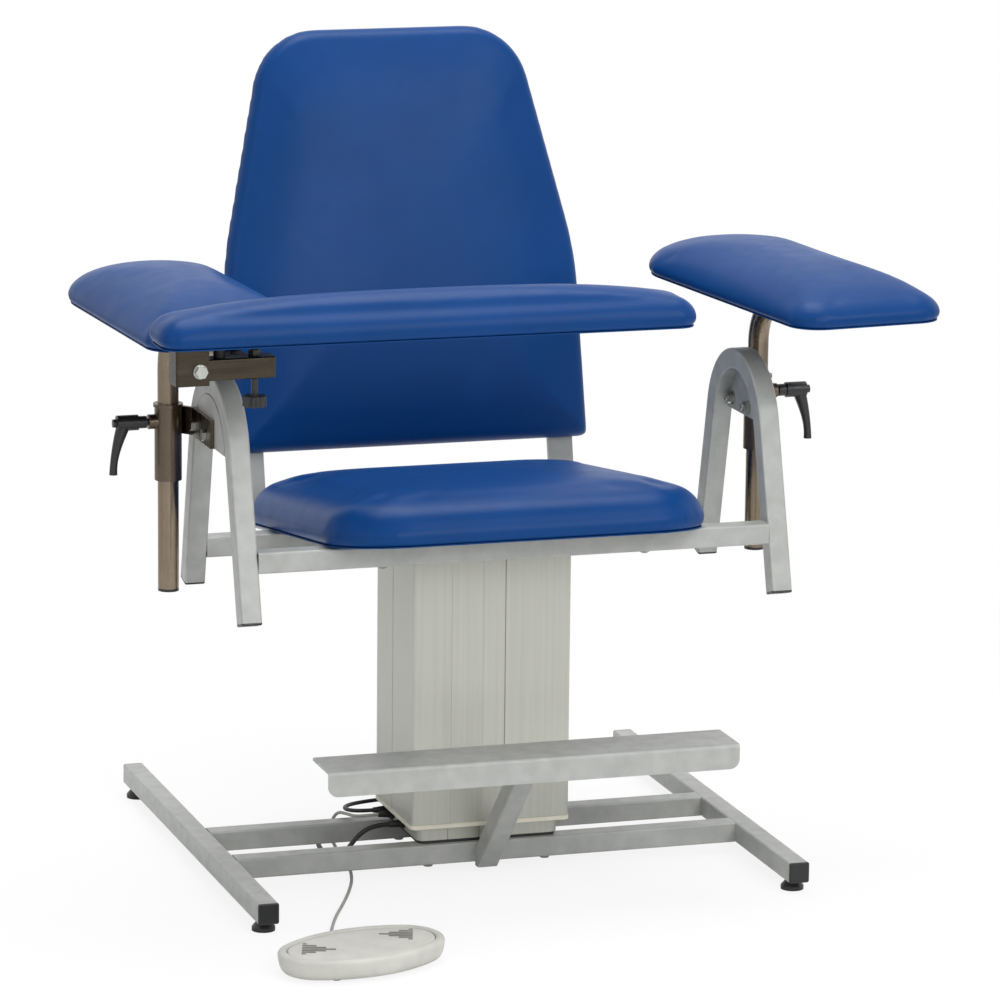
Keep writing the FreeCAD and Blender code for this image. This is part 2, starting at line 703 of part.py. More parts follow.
def lead_screw():
    foot = FOOT_TOP + GEARBOX_HEIGHT / 2
    screw = rod(SCREW_RADIUS, V(0, 0, foot + SLIDE_GAP), V(0, 0, SCREW_TOP))
    tip = [edge for edge in screw.Edges if abs(edge.CenterOfMass.z - SCREW_TOP) < FIT_GAP]
    return screw.makeChamfer(CAP_CHAMFER, tip)


def lift_nut():
    """The travelling nut at the foot of a push tube that hangs from the top plate."""
    nut = rod(NUT_RADIUS, V(0, 0, NUT_BOTTOM), V(0, 0, NUT_BOTTOM + NUT_HEIGHT))
    nut_top = NUT_BOTTOM + NUT_HEIGHT
    nut = nut.cut(rod(SCREW_RADIUS + FIT_GAP, V(0, 0, NUT_BOTTOM - OVERRUN), V(0, 0, nut_top + OVERRUN)))
    push = rod(PUSH_RADIUS, V(0, 0, nut_top), V(0, 0, COLUMN_TOP))
    push = push.cut(rod(PUSH_BORE, V(0, 0, NUT_BOTTOM), V(0, 0, COLUMN_TOP + OVERRUN)))
    return nut.fuse(push)


def column_outer_profile():
    height = V(0, 0, COLUMN_TOP - COLUMN_BOTTOM)
    outer = prism(corner_wire(rectangle(COLUMN_WIDTH, COLUMN_DEPTH), COLUMN_CORNER, flat(COLUMN_BOTTOM)),
                  height)
    hollow = prism(corner_wire(rectangle(COLUMN_WIDTH - 2 * COLUMN_WALL, COLUMN_DEPTH - 2 * COLUMN_WALL),
                               0, flat(COLUMN_BOTTOM)), height)
    profile = outer.cut(hollow)
    z = (COLUMN_BOTTOM, COLUMN_TOP)
    side_y = (COLUMN_SIDE_GROOVE - GROOVE_WIDTH / 2, COLUMN_SIDE_GROOVE + GROOVE_WIDTH / 2)
    for x in COLUMN_GROOVES:
        for face in (-1, 1):
            wall = face * COLUMN_DEPTH / 2
            deep = wall - face * GROOVE_DEPTH
            profile = profile.cut(block((x - GROOVE_WIDTH / 2, x + GROOVE_WIDTH / 2),
                                        sorted((deep, wall + face * OVERRUN)), z))
    for face in (-1, 1):
        wall = face * COLUMN_WIDTH / 2
        deep = wall - face * GROOVE_DEPTH
        profile = profile.cut(block(sorted((deep, wall + face * OVERRUN)), side_y, z))
    return profile


def column_rim():
    """The plastic mouth of the moving profile, which also guides the fixed one."""
    bottom = COLUMN_BOTTOM - RIM_HEIGHT
    outer = prism(corner_wire(rectangle(COLUMN_WIDTH + 2 * RIM_PROUD, COLUMN_DEPTH + 2 * RIM_PROUD),
                              RIM_CORNER, flat(bottom)), V(0, 0, RIM_HEIGHT))
    mouth = prism(corner_wire(rectangle(INNER_WIDTH + 2 * SLIDE_GAP, INNER_DEPTH + 2 * SLIDE_GAP),
                              INNER_CORNER, flat(bottom - OVERRUN)), V(0, 0, RIM_HEIGHT + 2 * OVERRUN))
    return outer.cut(mouth)


def column_top_plate():
    """The block on the moving profile's end, in front of the rear cross tube."""
    half = COLUMN_WIDTH / 2 - TOP_PLATE_MARGIN
    front, rear = TOP_PLATE_MARGIN - COLUMN_DEPTH / 2, REAR_TUBE_FRONT - TOP_PLATE_MARGIN
    plan = [(-half, front), (half, front), (half, rear), (-half, rear)]
    return prism(corner_wire(plan, COLUMN_CORNER, flat(COLUMN_TOP)), V(0, 0, TOP_PLATE_THICK))


# The welded upper frame

def seat_plane(y):
    """Height of the seat board's underside."""
    return FRONT_TUBE_TOP - math.tan(math.radians(SEAT_TILT)) * (y - FRONT_TUBE_REAR)


def cross_tube(rear, top):
    inner = ARCH_X - TUBE / 2
    y, z = rear - TUBE / 2, top - TUBE / 2
    return square_tube(V(-inner, y, z), V(inner, y, z))


def rear_tube_top():
    return seat_plane(REAR_TUBE_FRONT + TUBE)


def seat_bearers():
    front_y, rear_y = FRONT_TUBE_REAR, REAR_TUBE_FRONT
    outline = [(front_y, seat_plane(front_y)), (rear_y, seat_plane(rear_y)), (rear_y, TOP_PLATE_TOP),
               (BEARER_REACH, TOP_PLATE_TOP), (front_y, seat_plane(front_y) - BEARER_NOSE)]
    plates = []
    for x in (-BEARER_SPACING / 2, BEARER_SPACING / 2):
        plates.append(prism(corner_wire(outline, 0, side(x - BEARER_THICK / 2)), V(BEARER_THICK, 0, 0)))
    return Part.makeCompound(plates)


def arch_band(outer, inner, width, longer):
    """The bent tube's outline in side view, extruded over a width."""
    front_c, front_s = turn(FRONT_LEAN)
    rear_c, rear_s = turn(REAR_LEAN)

    def on(radius, c, s, sign):
        return ARCH_CENTRE_Y + sign * radius * c, ARCH_CENTRE_Z + radius * s

    plane = side(-width / 2)
    front_leg = (on(ARCH_RADIUS, front_c, front_s, -1)[1] - FRONT_FOOT_Z) / front_c + longer
    rear_leg = (on(ARCH_RADIUS, rear_c, rear_s, 1)[1] - REAR_FOOT_Z) / rear_c + longer
    fo, fi = on(outer, front_c, front_s, -1), on(inner, front_c, front_s, -1)
    ro, ri = on(outer, rear_c, rear_s, 1), on(inner, rear_c, rear_s, 1)
    front_down = (-front_s * front_leg, -front_c * front_leg)
    rear_down = (rear_s * rear_leg, -rear_c * rear_leg)

    def moved(point, step):
        return point[0] + step[0], point[1] + step[1]

    edges = [
        Part.LineSegment(plane(*moved(fo, front_down)), plane(*fo)).toShape(),
        Part.Arc(plane(*fo), plane(ARCH_CENTRE_Y, ARCH_CENTRE_Z + outer), plane(*ro)).toShape(),
        Part.LineSegment(plane(*ro), plane(*moved(ro, rear_down))).toShape(),
        Part.LineSegment(plane(*moved(ro, rear_down)), plane(*moved(ri, rear_down))).toShape(),
        Part.LineSegment(plane(*moved(ri, rear_down)), plane(*ri)).toShape(),
        Part.Arc(plane(*ri), plane(ARCH_CENTRE_Y, ARCH_CENTRE_Z + inner), plane(*fi)).toShape(),
        Part.LineSegment(plane(*fi), plane(*moved(fi, front_down))).toShape(),
        Part.LineSegment(plane(*moved(fi, front_down)), plane(*moved(fo, front_down))).toShape(),
    ]
    return prism(Part.Wire(edges), V(width, 0, 0))


def arch():
    outer = arch_band(ARCH_RADIUS, ARCH_INNER, TUBE, 0)
    long_edges = [e for e in outer.Edges
                  if abs(abs(e.CenterOfMass.x) - TUBE / 2) < FIT_GAP and abs(e.Length - TUBE) > FIT_GAP]
    outer = outer.makeFillet(TUBE_CORNER, long_edges)
    hollow = arch_band(ARCH_RADIUS - TUBE_WALL, ARCH_INNER + TUBE_WALL, TUBE - 2 * TUBE_WALL, OVERRUN)
    tube = outer.cut(hollow)
    tube.translate(V(ARCH_X, 0, 0))
    return tube


def leg_plugs():
    """Caps in the arches' open feet, square to each leg."""
    plugs = []
    middle = ARCH_RADIUS - TUBE / 2
    for lean, foot_z, sign in ((FRONT_LEAN, FRONT_FOOT_Z, -1), (REAR_LEAN, REAR_FOOT_Z, 1)):
        c, s = turn(lean)
        drop = (ARCH_CENTRE_Z + ARCH_RADIUS * s - foot_z) / c
        y = ARCH_CENTRE_Y + sign * (middle * c + s * drop)
        z = ARCH_CENTRE_Z + middle * s - c * drop
        cap = tube_cap(V(ARCH_X, y, z), V(0, sign * s, -c))
        plugs += [cap, mirrored(cap)]
    return Part.makeCompound(plugs)


def gusset():
    """The plate that fills the arch's upper opening, flush with its outer face."""
    front_c, front_s = turn(FRONT_LEAN)
    rear_c, rear_s = turn(REAR_LEAN)
    radius = ARCH_INNER
    front_y, front_z = ARCH_CENTRE_Y - radius * front_c, ARCH_CENTRE_Z + radius * front_s
    rear_y, rear_z = ARCH_CENTRE_Y + radius * rear_c, ARCH_CENTRE_Z + radius * rear_s
    low_front = (front_y - (front_z - GUSSET_BOTTOM) * front_s / front_c, GUSSET_BOTTOM)
    low_rear = (rear_y + (rear_z - GUSSET_BOTTOM) * rear_s / rear_c, GUSSET_BOTTOM)
    plane = side(ARCH_X + TUBE / 2 - GUSSET_THICK)
    edges = [
        Part.LineSegment(plane(*low_front), plane(front_y, front_z)).toShape(),
        Part.Arc(plane(front_y, front_z), plane(ARCH_CENTRE_Y, ARCH_CENTRE_Z + radius),
                 plane(rear_y, rear_z)).toShape(),
        Part.LineSegment(plane(rear_y, rear_z), plane(*low_rear)).toShape(),
        Part.LineSegment(plane(*low_rear), plane(*low_front)).toShape(),
    ]
    plate = prism(Part.Wire(edges), V(GUSSET_THICK, 0, 0))
    for y, z in BOLT_PLACES:
        plate = plate.cut(rod(M8_RADIUS + FIT_GAP, V(0, y, z), V(ARCH_WIDTH, y, z)))
    return plate


def arch_gussets():
    plate = gusset()
    return Part.makeCompound([plate, mirrored(plate)])


# Sleeves and brackets that carry the arms

def sleeve():
    axis_low, axis_high = V(POST_X, POST_Y, SLEEVE_BOTTOM), V(POST_X, POST_Y, SLEEVE_TOP)
    body = rod(SLEEVE_RADIUS, axis_low, axis_high)
    collar = rod(COLLAR_RADIUS, axis_high - Z_WAY * COLLAR_HEIGHT, axis_high)
    stud = V(POST_X, POST_Y, STUD_Z)
    boss = rod(BOSS_RADIUS, stud, stud + X_WAY * BOSS_REACH)
    bore = rod(POST_TUBE / 2 + FIT_GAP, axis_low - Z_WAY * OVERRUN, axis_high + Z_WAY * OVERRUN)
    stud_way = rod(STUD_RADIUS + FIT_GAP, stud, stud + X_WAY * (BOSS_REACH + OVERRUN))
    return body.fuse([collar, boss]).cut(bore.fuse(stud_way))


def sleeve_bracket():
    """A bent strap: flat on the arch's outer face, then out to the sleeve's side."""
    face = ARCH_X + TUBE / 2
    low = STUD_Z - BRACKET_HEIGHT / 2
    run_x, run_y = BRACKET_END_X - face, BRACKET_END_Y - BRACKET_BEND_Y
    size = math.hypot(run_x, run_y)
    off_x, off_y = run_y / size * BRACKET_THICK, -run_x / size * BRACKET_THICK
    lean = (size - run_y) / run_x * BRACKET_THICK
    outline = [(face, BRACKET_FRONT), (face + BRACKET_THICK, BRACKET_FRONT),
               (face + BRACKET_THICK, BRACKET_BEND_Y - lean), (BRACKET_END_X + off_x, BRACKET_END_Y + off_y),
               (BRACKET_END_X, BRACKET_END_Y), (face, BRACKET_BEND_Y)]
    strap = prism(corner_wire(outline, 0, flat(low)), V(0, 0, BRACKET_HEIGHT))
    strap = strap.cut(rod(SLEEVE_RADIUS, V(POST_X, POST_Y, SLEEVE_BOTTOM), V(POST_X, POST_Y, SLEEVE_TOP)))
    for y, z in BOLT_PLACES:
        strap = strap.cut(rod(M8_RADIUS + FIT_GAP, V(0, y, z), V(ARCH_WIDTH, y, z)))
    return max(strap.Solids, key=lambda solid: solid.Volume)


def sleeve_brackets():
    strap = sleeve_bracket()
    return Part.makeCompound([strap, mirrored(strap)])


def bracket_bolts():
    """Bolts through bracket and gusset, each with a washer and a nut inside the arch."""
    outer_face = ARCH_X + TUBE / 2 + BRACKET_THICK
    inner_face = ARCH_X + TUBE / 2 - GUSSET_THICK
    bolts = []
    for y, z in BOLT_PLACES:
        head = hexagon(M8_NUT_ACROSS, M8_NUT_HEIGHT - M8_WASHER, V(outer_face, y, z), X_WAY)
        shank = rod(M8_RADIUS, V(inner_face - M8_NUT_HEIGHT - M8_RADIUS, y, z), V(outer_face, y, z))
        washer = rod(M8_WASHER_RADIUS, V(inner_face - M8_WASHER, y, z), V(inner_face, y, z))
        nut = hexagon(M8_NUT_ACROSS, M8_NUT_HEIGHT, V(inner_face - M8_WASHER, y, z), -X_WAY)
        bolt = head.fuse([shank, washer, nut])
        bolts += [bolt, mirrored(bolt)]
    return Part.makeCompound(bolts)


def clamp_lever():
    """A ratchet lever: hub on the stud, a button at its end and a handle that hangs and flares out."""
    start = POST_X + LEVER_HUB_START
    end = start + LEVER_HUB_LENGTH

    def along(x):
        return V(x, POST_Y, STUD_Z)

    stud = rod(STUD_RADIUS, along(POST_X + POST_TUBE / 2 + SLIDE_GAP), along(start))
    collar = rod(LEVER_COLLAR_RADIUS, along(start), along(start + LEVER_COLLAR_LENGTH))
    hub = rod(LEVER_HUB_RADIUS, along(start + LEVER_COLLAR_LENGTH), along(end))
    button = rod(LEVER_BUTTON_RADIUS, along(end), along(end + LEVER_BUTTON_REACH))
    root_x = end - LEVER_HUB_RADIUS
    sections = []
    for share, thinned in LEVER_SHARES:
        x = root_x + LEVER_FLARE * math.sin(share * math.pi / 2)
        radius = LEVER_ROOT + (LEVER_TIP - LEVER_ROOT) * thinned
        ring = Part.Circle(V(x, POST_Y, STUD_Z - LEVER_DROP * share), Z_WAY, radius).toShape()
        sections.append(Part.Wire([ring]))
    handle = Part.makeLoft(sections, True, False)
    return stud.fuse([collar, hub, button, handle])


# The seat and the back

def seat_place(shape):
    shape.rotate(V(), X_WAY, -SEAT_TILT)
    shape.translate(V(0, FRONT_TUBE_REAR, FRONT_TUBE_TOP))
    return shape


def seat_outline():
    half = SEAT_WIDTH / 2
    rear = SEAT_FRONT + SEAT_LENGTH
    return [(-half, SEAT_FRONT), (half, SEAT_FRONT), (half, rear), (-half, rear)]


def seat_wire(inset, size, z):
    corners = [SEAT_CORNER, SEAT_CORNER, SEAT_REAR_CORNER, SEAT_REAR_CORNER]
    radii = [(corner - inset) * size for corner in corners]
    return corner_wire(shrunk(seat_outline(), inset, size), radii, flat(z))


def seat_board():
    return seat_place(prism(seat_wire(SEAT_BOARD_MARGIN, 1.0, 0), V(0, 0, BOARD_THICK)))


def seat_cushion():
    cushion = upholstered(seat_wire, SEAT_FOAM, SEAT_CROWN, SEAT_ROUND)
    cushion.translate(V(0, 0, BOARD_THICK))
    return seat_place(cushion)


def back_place(shape):
    shape.rotate(V(), X_WAY, RIGHT_ANGLE - BACK_RECLINE)
    shape.translate(V(0, BACK_Y, BACK_Z))
    return shape


def back_outline():
    top = BACK_LENGTH
    lean = (BACK_HALF_HIP - BACK_HALF_SHOULDER) / (BACK_SHOULDER - BACK_HIP)
    crown_half = BACK_HALF_SHOULDER - lean * (top - BACK_SHOULDER)
    right = [(BACK_HALF_BOTTOM, 0), (BACK_HALF_HIP, BACK_HIP), (crown_half, top)]
    return [(-x, y) for x, y in right[::-1]] + right


def back_wire(inset, size, z):
    radii = [BACK_TOP_CORNER, BACK_SHOULDER, BACK_FOOT_CORNER]
    radii = [radius * size for radius in radii + radii[::-1]]
    return corner_wire(shrunk(back_outline(), inset, size), radii, flat(z))


def back_board():
    return back_place(prism(back_wire(BACK_BOARD_MARGIN, 1.0, 0), V(0, 0, BOARD_THICK)))


def back_cushion():
    cushion = upholstered(back_wire, BACK_FOAM, BACK_CROWN, BACK_ROUND)
    cushion.translate(V(0, 0, BOARD_THICK))
    return back_place(cushion)


def back_posts():
    """Flat bars from the rear cross tube, under the seat board and up behind the back board."""
    start_y = REAR_TUBE_FRONT + TUBE
    tilt = math.radians(SEAT_TILT)
    lean = math.radians(BACK_RECLINE)
    under = (start_y, seat_plane(start_y))
    rise = (BACK_Y, BACK_Z)
    along_y, along_z = math.cos(tilt), -math.sin(tilt)
    up_y, up_z = math.sin(lean), math.cos(lean)
    det = along_y * -up_z + up_y * along_z
    gap_y, gap_z = rise[0] - under[0], rise[1] - under[1]
    reach = (gap_y * -up_z + up_y * gap_z) / det
    corner = (under[0] + along_y * reach, under[1] + along_z * reach)
    top = (rise[0] + up_y * POST_BAR_RISE, rise[1] + up_z * POST_BAR_RISE)
    square_y, square_z = along_z + up_z, -along_y - up_y
    share = POST_BAR_THICK / (1 + along_z * up_z + along_y * up_y)
    outer_corner = (corner[0] + square_y * share, corner[1] + square_z * share)
    outer_top = (top[0] + up_z * POST_BAR_THICK, top[1] - up_y * POST_BAR_THICK)
    outline = [under, corner, top, outer_top, outer_corner, (start_y, under[1] - POST_BAR_THICK / along_y)]
    radii = [0, POST_BAR_BEND, 0, 0, POST_BAR_BEND + POST_BAR_THICK, 0]
    bars = []
    for x in (-POST_BAR_SPACING / 2, POST_BAR_SPACING / 2):
        profile = corner_wire(outline, radii, side(x - POST_BAR_WIDTH / 2))
        bars.append(prism(profile, V(POST_BAR_WIDTH, 0, 0)))
    return Part.makeCompound(bars)


# The arms, each drawn straight ahead with its post at x = y = 0 and then swivelled

def arm_place(shape, sign):
    shape.rotate(V(), Z_WAY, SWIVEL_LEFT if sign < 0 else SWIVEL_RIGHT)
    shape.translate(V(sign * POST_X, POST_Y, 0))
    return shape


def arm_post(sign):
    """Tube, bent from upright to level under the pad."""
    bottom = POST_BOTTOM_LEFT if sign < 0 else POST_BOTTOM_RIGHT
    reach = ARM_TUBE_LEFT if sign < 0 else ARM_TUBE_RIGHT
    c, s = turn(RIGHT_ANGLE / 2)
    bend_z = ARM_TUBE_Z - POST_BEND
    low, start = V(0, 0, bottom), V(0, 0, bend_z)
    middle = V(0, -POST_BEND + POST_BEND * c, bend_z + POST_BEND * s)
    end, tip = V(0, -POST_BEND, ARM_TUBE_Z), V(0, -reach, ARM_TUBE_Z)

    def run(radius, low_point, tip_point):
        return smooth_tube([Part.LineSegment(low_point, start).toShape(),
                            Part.Arc(start, middle, end).toShape(),
                            Part.LineSegment(end, tip_point).toShape()], radius)

    outer = run(POST_TUBE / 2, low, tip)
    hollow = run(POST_TUBE / 2 - POST_WALL, low - Z_WAY * OVERRUN, tip + Y_WAY * POST_WALL)
    return arm_place(outer.cut(hollow), sign)


def post_plug(sign):
    bottom = POST_BOTTOM_LEFT if sign < 0 else POST_BOTTOM_RIGHT
    head = rod(POST_TUBE / 2, V(0, 0, bottom - POST_PLUG_THICK - SLIDE_GAP), V(0, 0, bottom - SLIDE_GAP))
    plug = rod(POST_TUBE / 2 - POST_WALL - FIT_GAP, V(0, 0, bottom - SLIDE_GAP), V(0, 0, bottom + CAP_PLUG))
    return arm_place(head.fuse(plug), sign)


def pad_outline(sign):
    half = PAD_WIDTH / 2
    front = -PAD_FRONT_LEFT if sign < 0 else -PAD_FRONT_RIGHT
    rear = PAD_REAR_LEFT if sign < 0 else PAD_REAR_RIGHT
    return [(-half, front), (half, front), (half, rear), (-half, rear)]


def pad_wire(sign, inset, size, z):
    corners = [PAD_FRONT_CORNER, PAD_FRONT_CORNER, PAD_REAR_CORNER, PAD_REAR_CORNER]
    radii = [(corner - inset) * size for corner in corners]
    return corner_wire(shrunk(pad_outline(sign), inset, size), radii, flat(z))


def arm_board(sign):
    board = prism(pad_wire(sign, PAD_BOARD_MARGIN, 1.0, PAD_BOTTOM), V(0, 0, BOARD_THICK))
    return arm_place(board, sign)


def arm_cushion(sign):
    def outline(inset, size, z):
        return pad_wire(sign, inset, size, z)

    cushion = upholstered(outline, PAD_FOAM, PAD_CROWN, PAD_ROUND)
    cushion.translate(V(0, 0, PAD_BOTTOM + BOARD_THICK))
    return arm_place(cushion, sign)


# The front bar and its carrier, on the left arm

def bar_tube():
    tube = square_tube(V(BAR_TUBE_LEFT, BAR_TUBE_Y, ARM_TUBE_Z), V(BAR_TUBE_RIGHT, BAR_TUBE_Y, ARM_TUBE_Z))
    tube = tube.cut(rod(BAR_PIVOT_RADIUS + FIT_GAP, V(BAR_PIVOT_X, BAR_TUBE_Y - TUBE, ARM_TUBE_Z),
                        V(BAR_PIVOT_X, BAR_TUBE_Y + TUBE, ARM_TUBE_Z)))
    tube = tube.cut(rod(THUMB_RADIUS + FIT_GAP, V(SCREW_X, BAR_TUBE_Y, ARM_TUBE_Z - TUBE),
                        V(SCREW_X, BAR_TUBE_Y, ARM_TUBE_Z + TUBE)))
    return arm_place(tube, -1)


def bar_tube_cap():
    return arm_place(tube_cap(V(BAR_TUBE_RIGHT, BAR_TUBE_Y, ARM_TUBE_Z), X_WAY), -1)


def bar_pivot_bolt():
    """The bolt through bracket and tube, with a washer and a lock nut in front."""
    cheek = TUBE / 2 + SLIDE_GAP + BAR_PLATE
    front = V(BAR_PIVOT_X, BAR_TUBE_Y - cheek - SLIDE_GAP, ARM_TUBE_Z)
    rear = V(BAR_PIVOT_X, BAR_TUBE_Y + cheek + SLIDE_GAP, ARM_TUBE_Z)
    shank = rod(BAR_PIVOT_RADIUS, front, rear)
    washer = rod(M8_WASHER_RADIUS, front - Y_WAY * M8_WASHER, front)
    nut = hexagon(M8_NUT_ACROSS, M8_NUT_HEIGHT, front - Y_WAY * M8_WASHER, -Y_WAY)
    head = hexagon(M8_NUT_ACROSS, M8_NUT_HEIGHT - M8_WASHER, rear, Y_WAY)
    return arm_place(shank.fuse([washer, nut, head]), -1)


def bar_rest_pads():
    """A rubber stop on the tube, under the bar's board."""
    low = V(REST_PAD_X, BAR_TUBE_Y, ARM_TUBE_Z + TUBE / 2)
    high = V(REST_PAD_X, BAR_TUBE_Y, BAR_PAD_BOTTOM - SLIDE_GAP)
    return arm_place(rod(REST_PAD_RADIUS, low, high), -1)


def thumb_screw():
    """A knurled knob below the tube, its screw, and a tip that bears on the bar's board."""
    knob_top = ARM_TUBE_Z - TUBE / 2 - THUMB_DROP
    knob_low = knob_top - KNOB_HEIGHT
    knob = rod(KNOB_RADIUS, V(SCREW_X, BAR_TUBE_Y, knob_low), V(SCREW_X, BAR_TUBE_Y, knob_top))
    lobe_ring = KNOB_RADIUS + THUMB_RADIUS / 2
    for i in range(KNOB_LOBES):
        c, s = turn(i * 2 * HALF_TURN / KNOB_LOBES)
        foot = V(SCREW_X + lobe_ring * c, BAR_TUBE_Y + lobe_ring * s, knob_low - OVERRUN)
        knob = knob.cut(rod(THUMB_RADIUS, foot, foot + Z_WAY * (KNOB_HEIGHT + 2 * OVERRUN)))
    screw_top = V(SCREW_X, BAR_TUBE_Y, BAR_PAD_BOTTOM - SLIDE_GAP)
    screw = rod(THUMB_RADIUS, V(SCREW_X, BAR_TUBE_Y, knob_top), screw_top)
    nut_low = ARM_TUBE_Z + TUBE / 2 + SLIDE_GAP
    nut = hexagon(M8_NUT_ACROSS, M8_NUT_HEIGHT, V(SCREW_X, BAR_TUBE_Y, nut_low), Z_WAY)
    tip_low = V(SCREW_X, BAR_TUBE_Y, BAR_PAD_BOTTOM - M8_NUT_HEIGHT)
    tip = cone(THUMB_RADIUS, TIP_RADIUS, tip_low, screw_top)
    return arm_place(knob.fuse([screw, nut, tip]), -1)


def bar_bracket():
    """A folded bracket under the bar's board: two cheeks and a web round the tube's end."""
    near = TUBE / 2 + SLIDE_GAP
    far = near + BAR_PLATE
    low = ARM_TUBE_Z - BAR_BRACKET_DROP
    front, rear = BAR_TUBE_Y - far, BAR_TUBE_Y + far
    plan = [(BAR_BRACKET_LEFT, front), (BAR_BRACKET_RIGHT, front),
            (BAR_BRACKET_RIGHT, rear), (BAR_BRACKET_LEFT, rear)]
    outer = prism(corner_wire(plan, [BAR_PLATE, 0, 0, BAR_PLATE], flat(low)), V(0, 0, BAR_PAD_BOTTOM - low))
    inside = block((BAR_BRACKET_LEFT + BAR_PLATE, BAR_BRACKET_RIGHT + OVERRUN),
                   (BAR_TUBE_Y - near, BAR_TUBE_Y + near), (low - OVERRUN, BAR_PAD_BOTTOM - BAR_PLATE))
    bracket = outer.cut(inside)
    bracket = bracket.cut(rod(BAR_PIVOT_RADIUS + FIT_GAP, V(BAR_PIVOT_X, BAR_TUBE_Y - TUBE, ARM_TUBE_Z),
                              V(BAR_PIVOT_X, BAR_TUBE_Y + TUBE, ARM_TUBE_Z)))
    return arm_place(bracket, -1)


def bar_wire(inset, size, z):
    plan = rectangle(2 * (BAR_HALF_LENGTH - inset) * size, 2 * (BAR_HALF_DEPTH - inset) * size)
    return corner_wire(plan, (BAR_CORNER - inset) * size, flat(z))


def bar_place(shape, z):
    """Turns a shape drawn about the bar's middle across the sitter, and puts it on the arm."""
    shape.rotate(V(), Z_WAY, BAR_PAD_TURN)
    shape.translate(V(BAR_CENTRE_X, BAR_CENTRE_Y, z))
    return arm_place(shape, -1)


def bar_board():
    return bar_place(prism(bar_wire(BAR_BOARD_MARGIN, 1.0, 0), V(0, 0, BOARD_THICK)), BAR_PAD_BOTTOM)


def bar_cushion():
    cushion = upholstered(bar_wire, BAR_FOAM, BAR_CROWN, BAR_ROUND)
    return bar_place(cushion, BAR_PAD_BOTTOM + BOARD_THICK)


# The foot pedal, drawn along x about its own middle

def pedal_place(shape):
    shape.rotate(V(), Z_WAY, PEDAL_TURN)
    shape.translate(V(PEDAL_X, PEDAL_Y, 0))
    return shape


def pedal_wire(inset, z):
    return oval_wire(PEDAL_HALF_LENGTH - inset, PEDAL_HALF_WIDTH - inset, PEDAL_END_RADIUS - inset, flat(z))


def pedal_base():
    """The housing: a dish with a rounded rim, blind holes for the rocker's pin and a boot for its cable."""
    body = prism(pedal_wire(0, PEDAL_FOOT), V(0, 0, PEDAL_HEIGHT - PEDAL_FOOT))
    rim = [e for e in body.Edges if abs(e.CenterOfMass.z - PEDAL_HEIGHT) < FIT_GAP]
    body = pedal_place(body.makeFillet(PEDAL_EDGE, rim))
    cable_end, before = V(*PEDAL_ROUTE[-1]), V(*PEDAL_ROUTE[-2])
    inward = (cable_end - before).normalize() * PEDAL_RIM
    boot = rod(PEDAL_BOOT_RADIUS, cable_end, cable_end + inward)
    hollow = prism(pedal_wire(PEDAL_RIM, PEDAL_FOOT + PEDAL_FLOOR), V(0, 0, PEDAL_HEIGHT))
    wall = PEDAL_HALF_WIDTH - PEDAL_RIM
    pin_way = rod(PIVOT_RADIUS + FIT_GAP, V(0, -wall - OVERRUN / 2, PEDAL_ROCK_Z),
                  V(0, wall + OVERRUN / 2, PEDAL_ROCK_Z))
    return body.fuse(boot).cut([pedal_place(hollow), pedal_place(pin_way)])


def pedal_feet():
    feet = []
    for sx in (-1, 1):
        for sy in (-1, 1):
            x, y = sx * PEDAL_HALF_LENGTH / 2, sy * PEDAL_HALF_WIDTH / 2
            feet.append(rod(RUBBER_RADIUS, V(x, y, 0), V(x, y, PEDAL_FOOT)))
    return pedal_place(Part.makeCompound(feet))


def pedal_rocker():
    """The rocking top with a ribbed arrow at each end and its pin below."""
    top = PEDAL_HEIGHT - PEDAL_RECESS
    plate = prism(pedal_wire(PEDAL_RIM + ROCKER_GAP, top - ROCKER_THICK), V(0, 0, ROCKER_THICK))
    web_half = PEDAL_HALF_WIDTH - PEDAL_RIM - 2 * ROCKER_GAP
    web = block((-PIVOT_RADIUS, PIVOT_RADIUS), (-web_half, web_half), (PEDAL_ROCK_Z, top - ROCKER_THICK))
    pin_half = PEDAL_HALF_WIDTH - PEDAL_RIM + OVERRUN / 2 - ROCKER_GAP
    pin = rod(PIVOT_RADIUS, V(0, -pin_half, PEDAL_ROCK_Z), V(0, pin_half, PEDAL_ROCK_Z))
    ribs = []
    for sign in (-1, 1):
        for i in range(ARROW_RIBS):
            share = (i + 0.5) / ARROW_RIBS
            across = ARROW_BASE * (share - 0.5)
            reach = ARROW_LENGTH * (1 - abs(2 * share - 1))
            rib = block((0, max(reach, PIVOT_RADIUS)),
                        (across - ARROW_RIB_HEIGHT, across + ARROW_RIB_HEIGHT),
                        (top, top + ARROW_RIB_HEIGHT))
            rib.translate(V(-ARROW_REACH, 0, 0))
            rib.rotate(V(-ARROW_REACH + ARROW_LENGTH / 3, 0, 0), Z_WAY, ARROW_TURN - PEDAL_TURN)
            if sign > 0:
                rib.rotate(V(), Z_WAY, HALF_TURN)
            ribs.append(rib)
    return pedal_place(plate.fuse([web, pin] + ribs))


# Cables

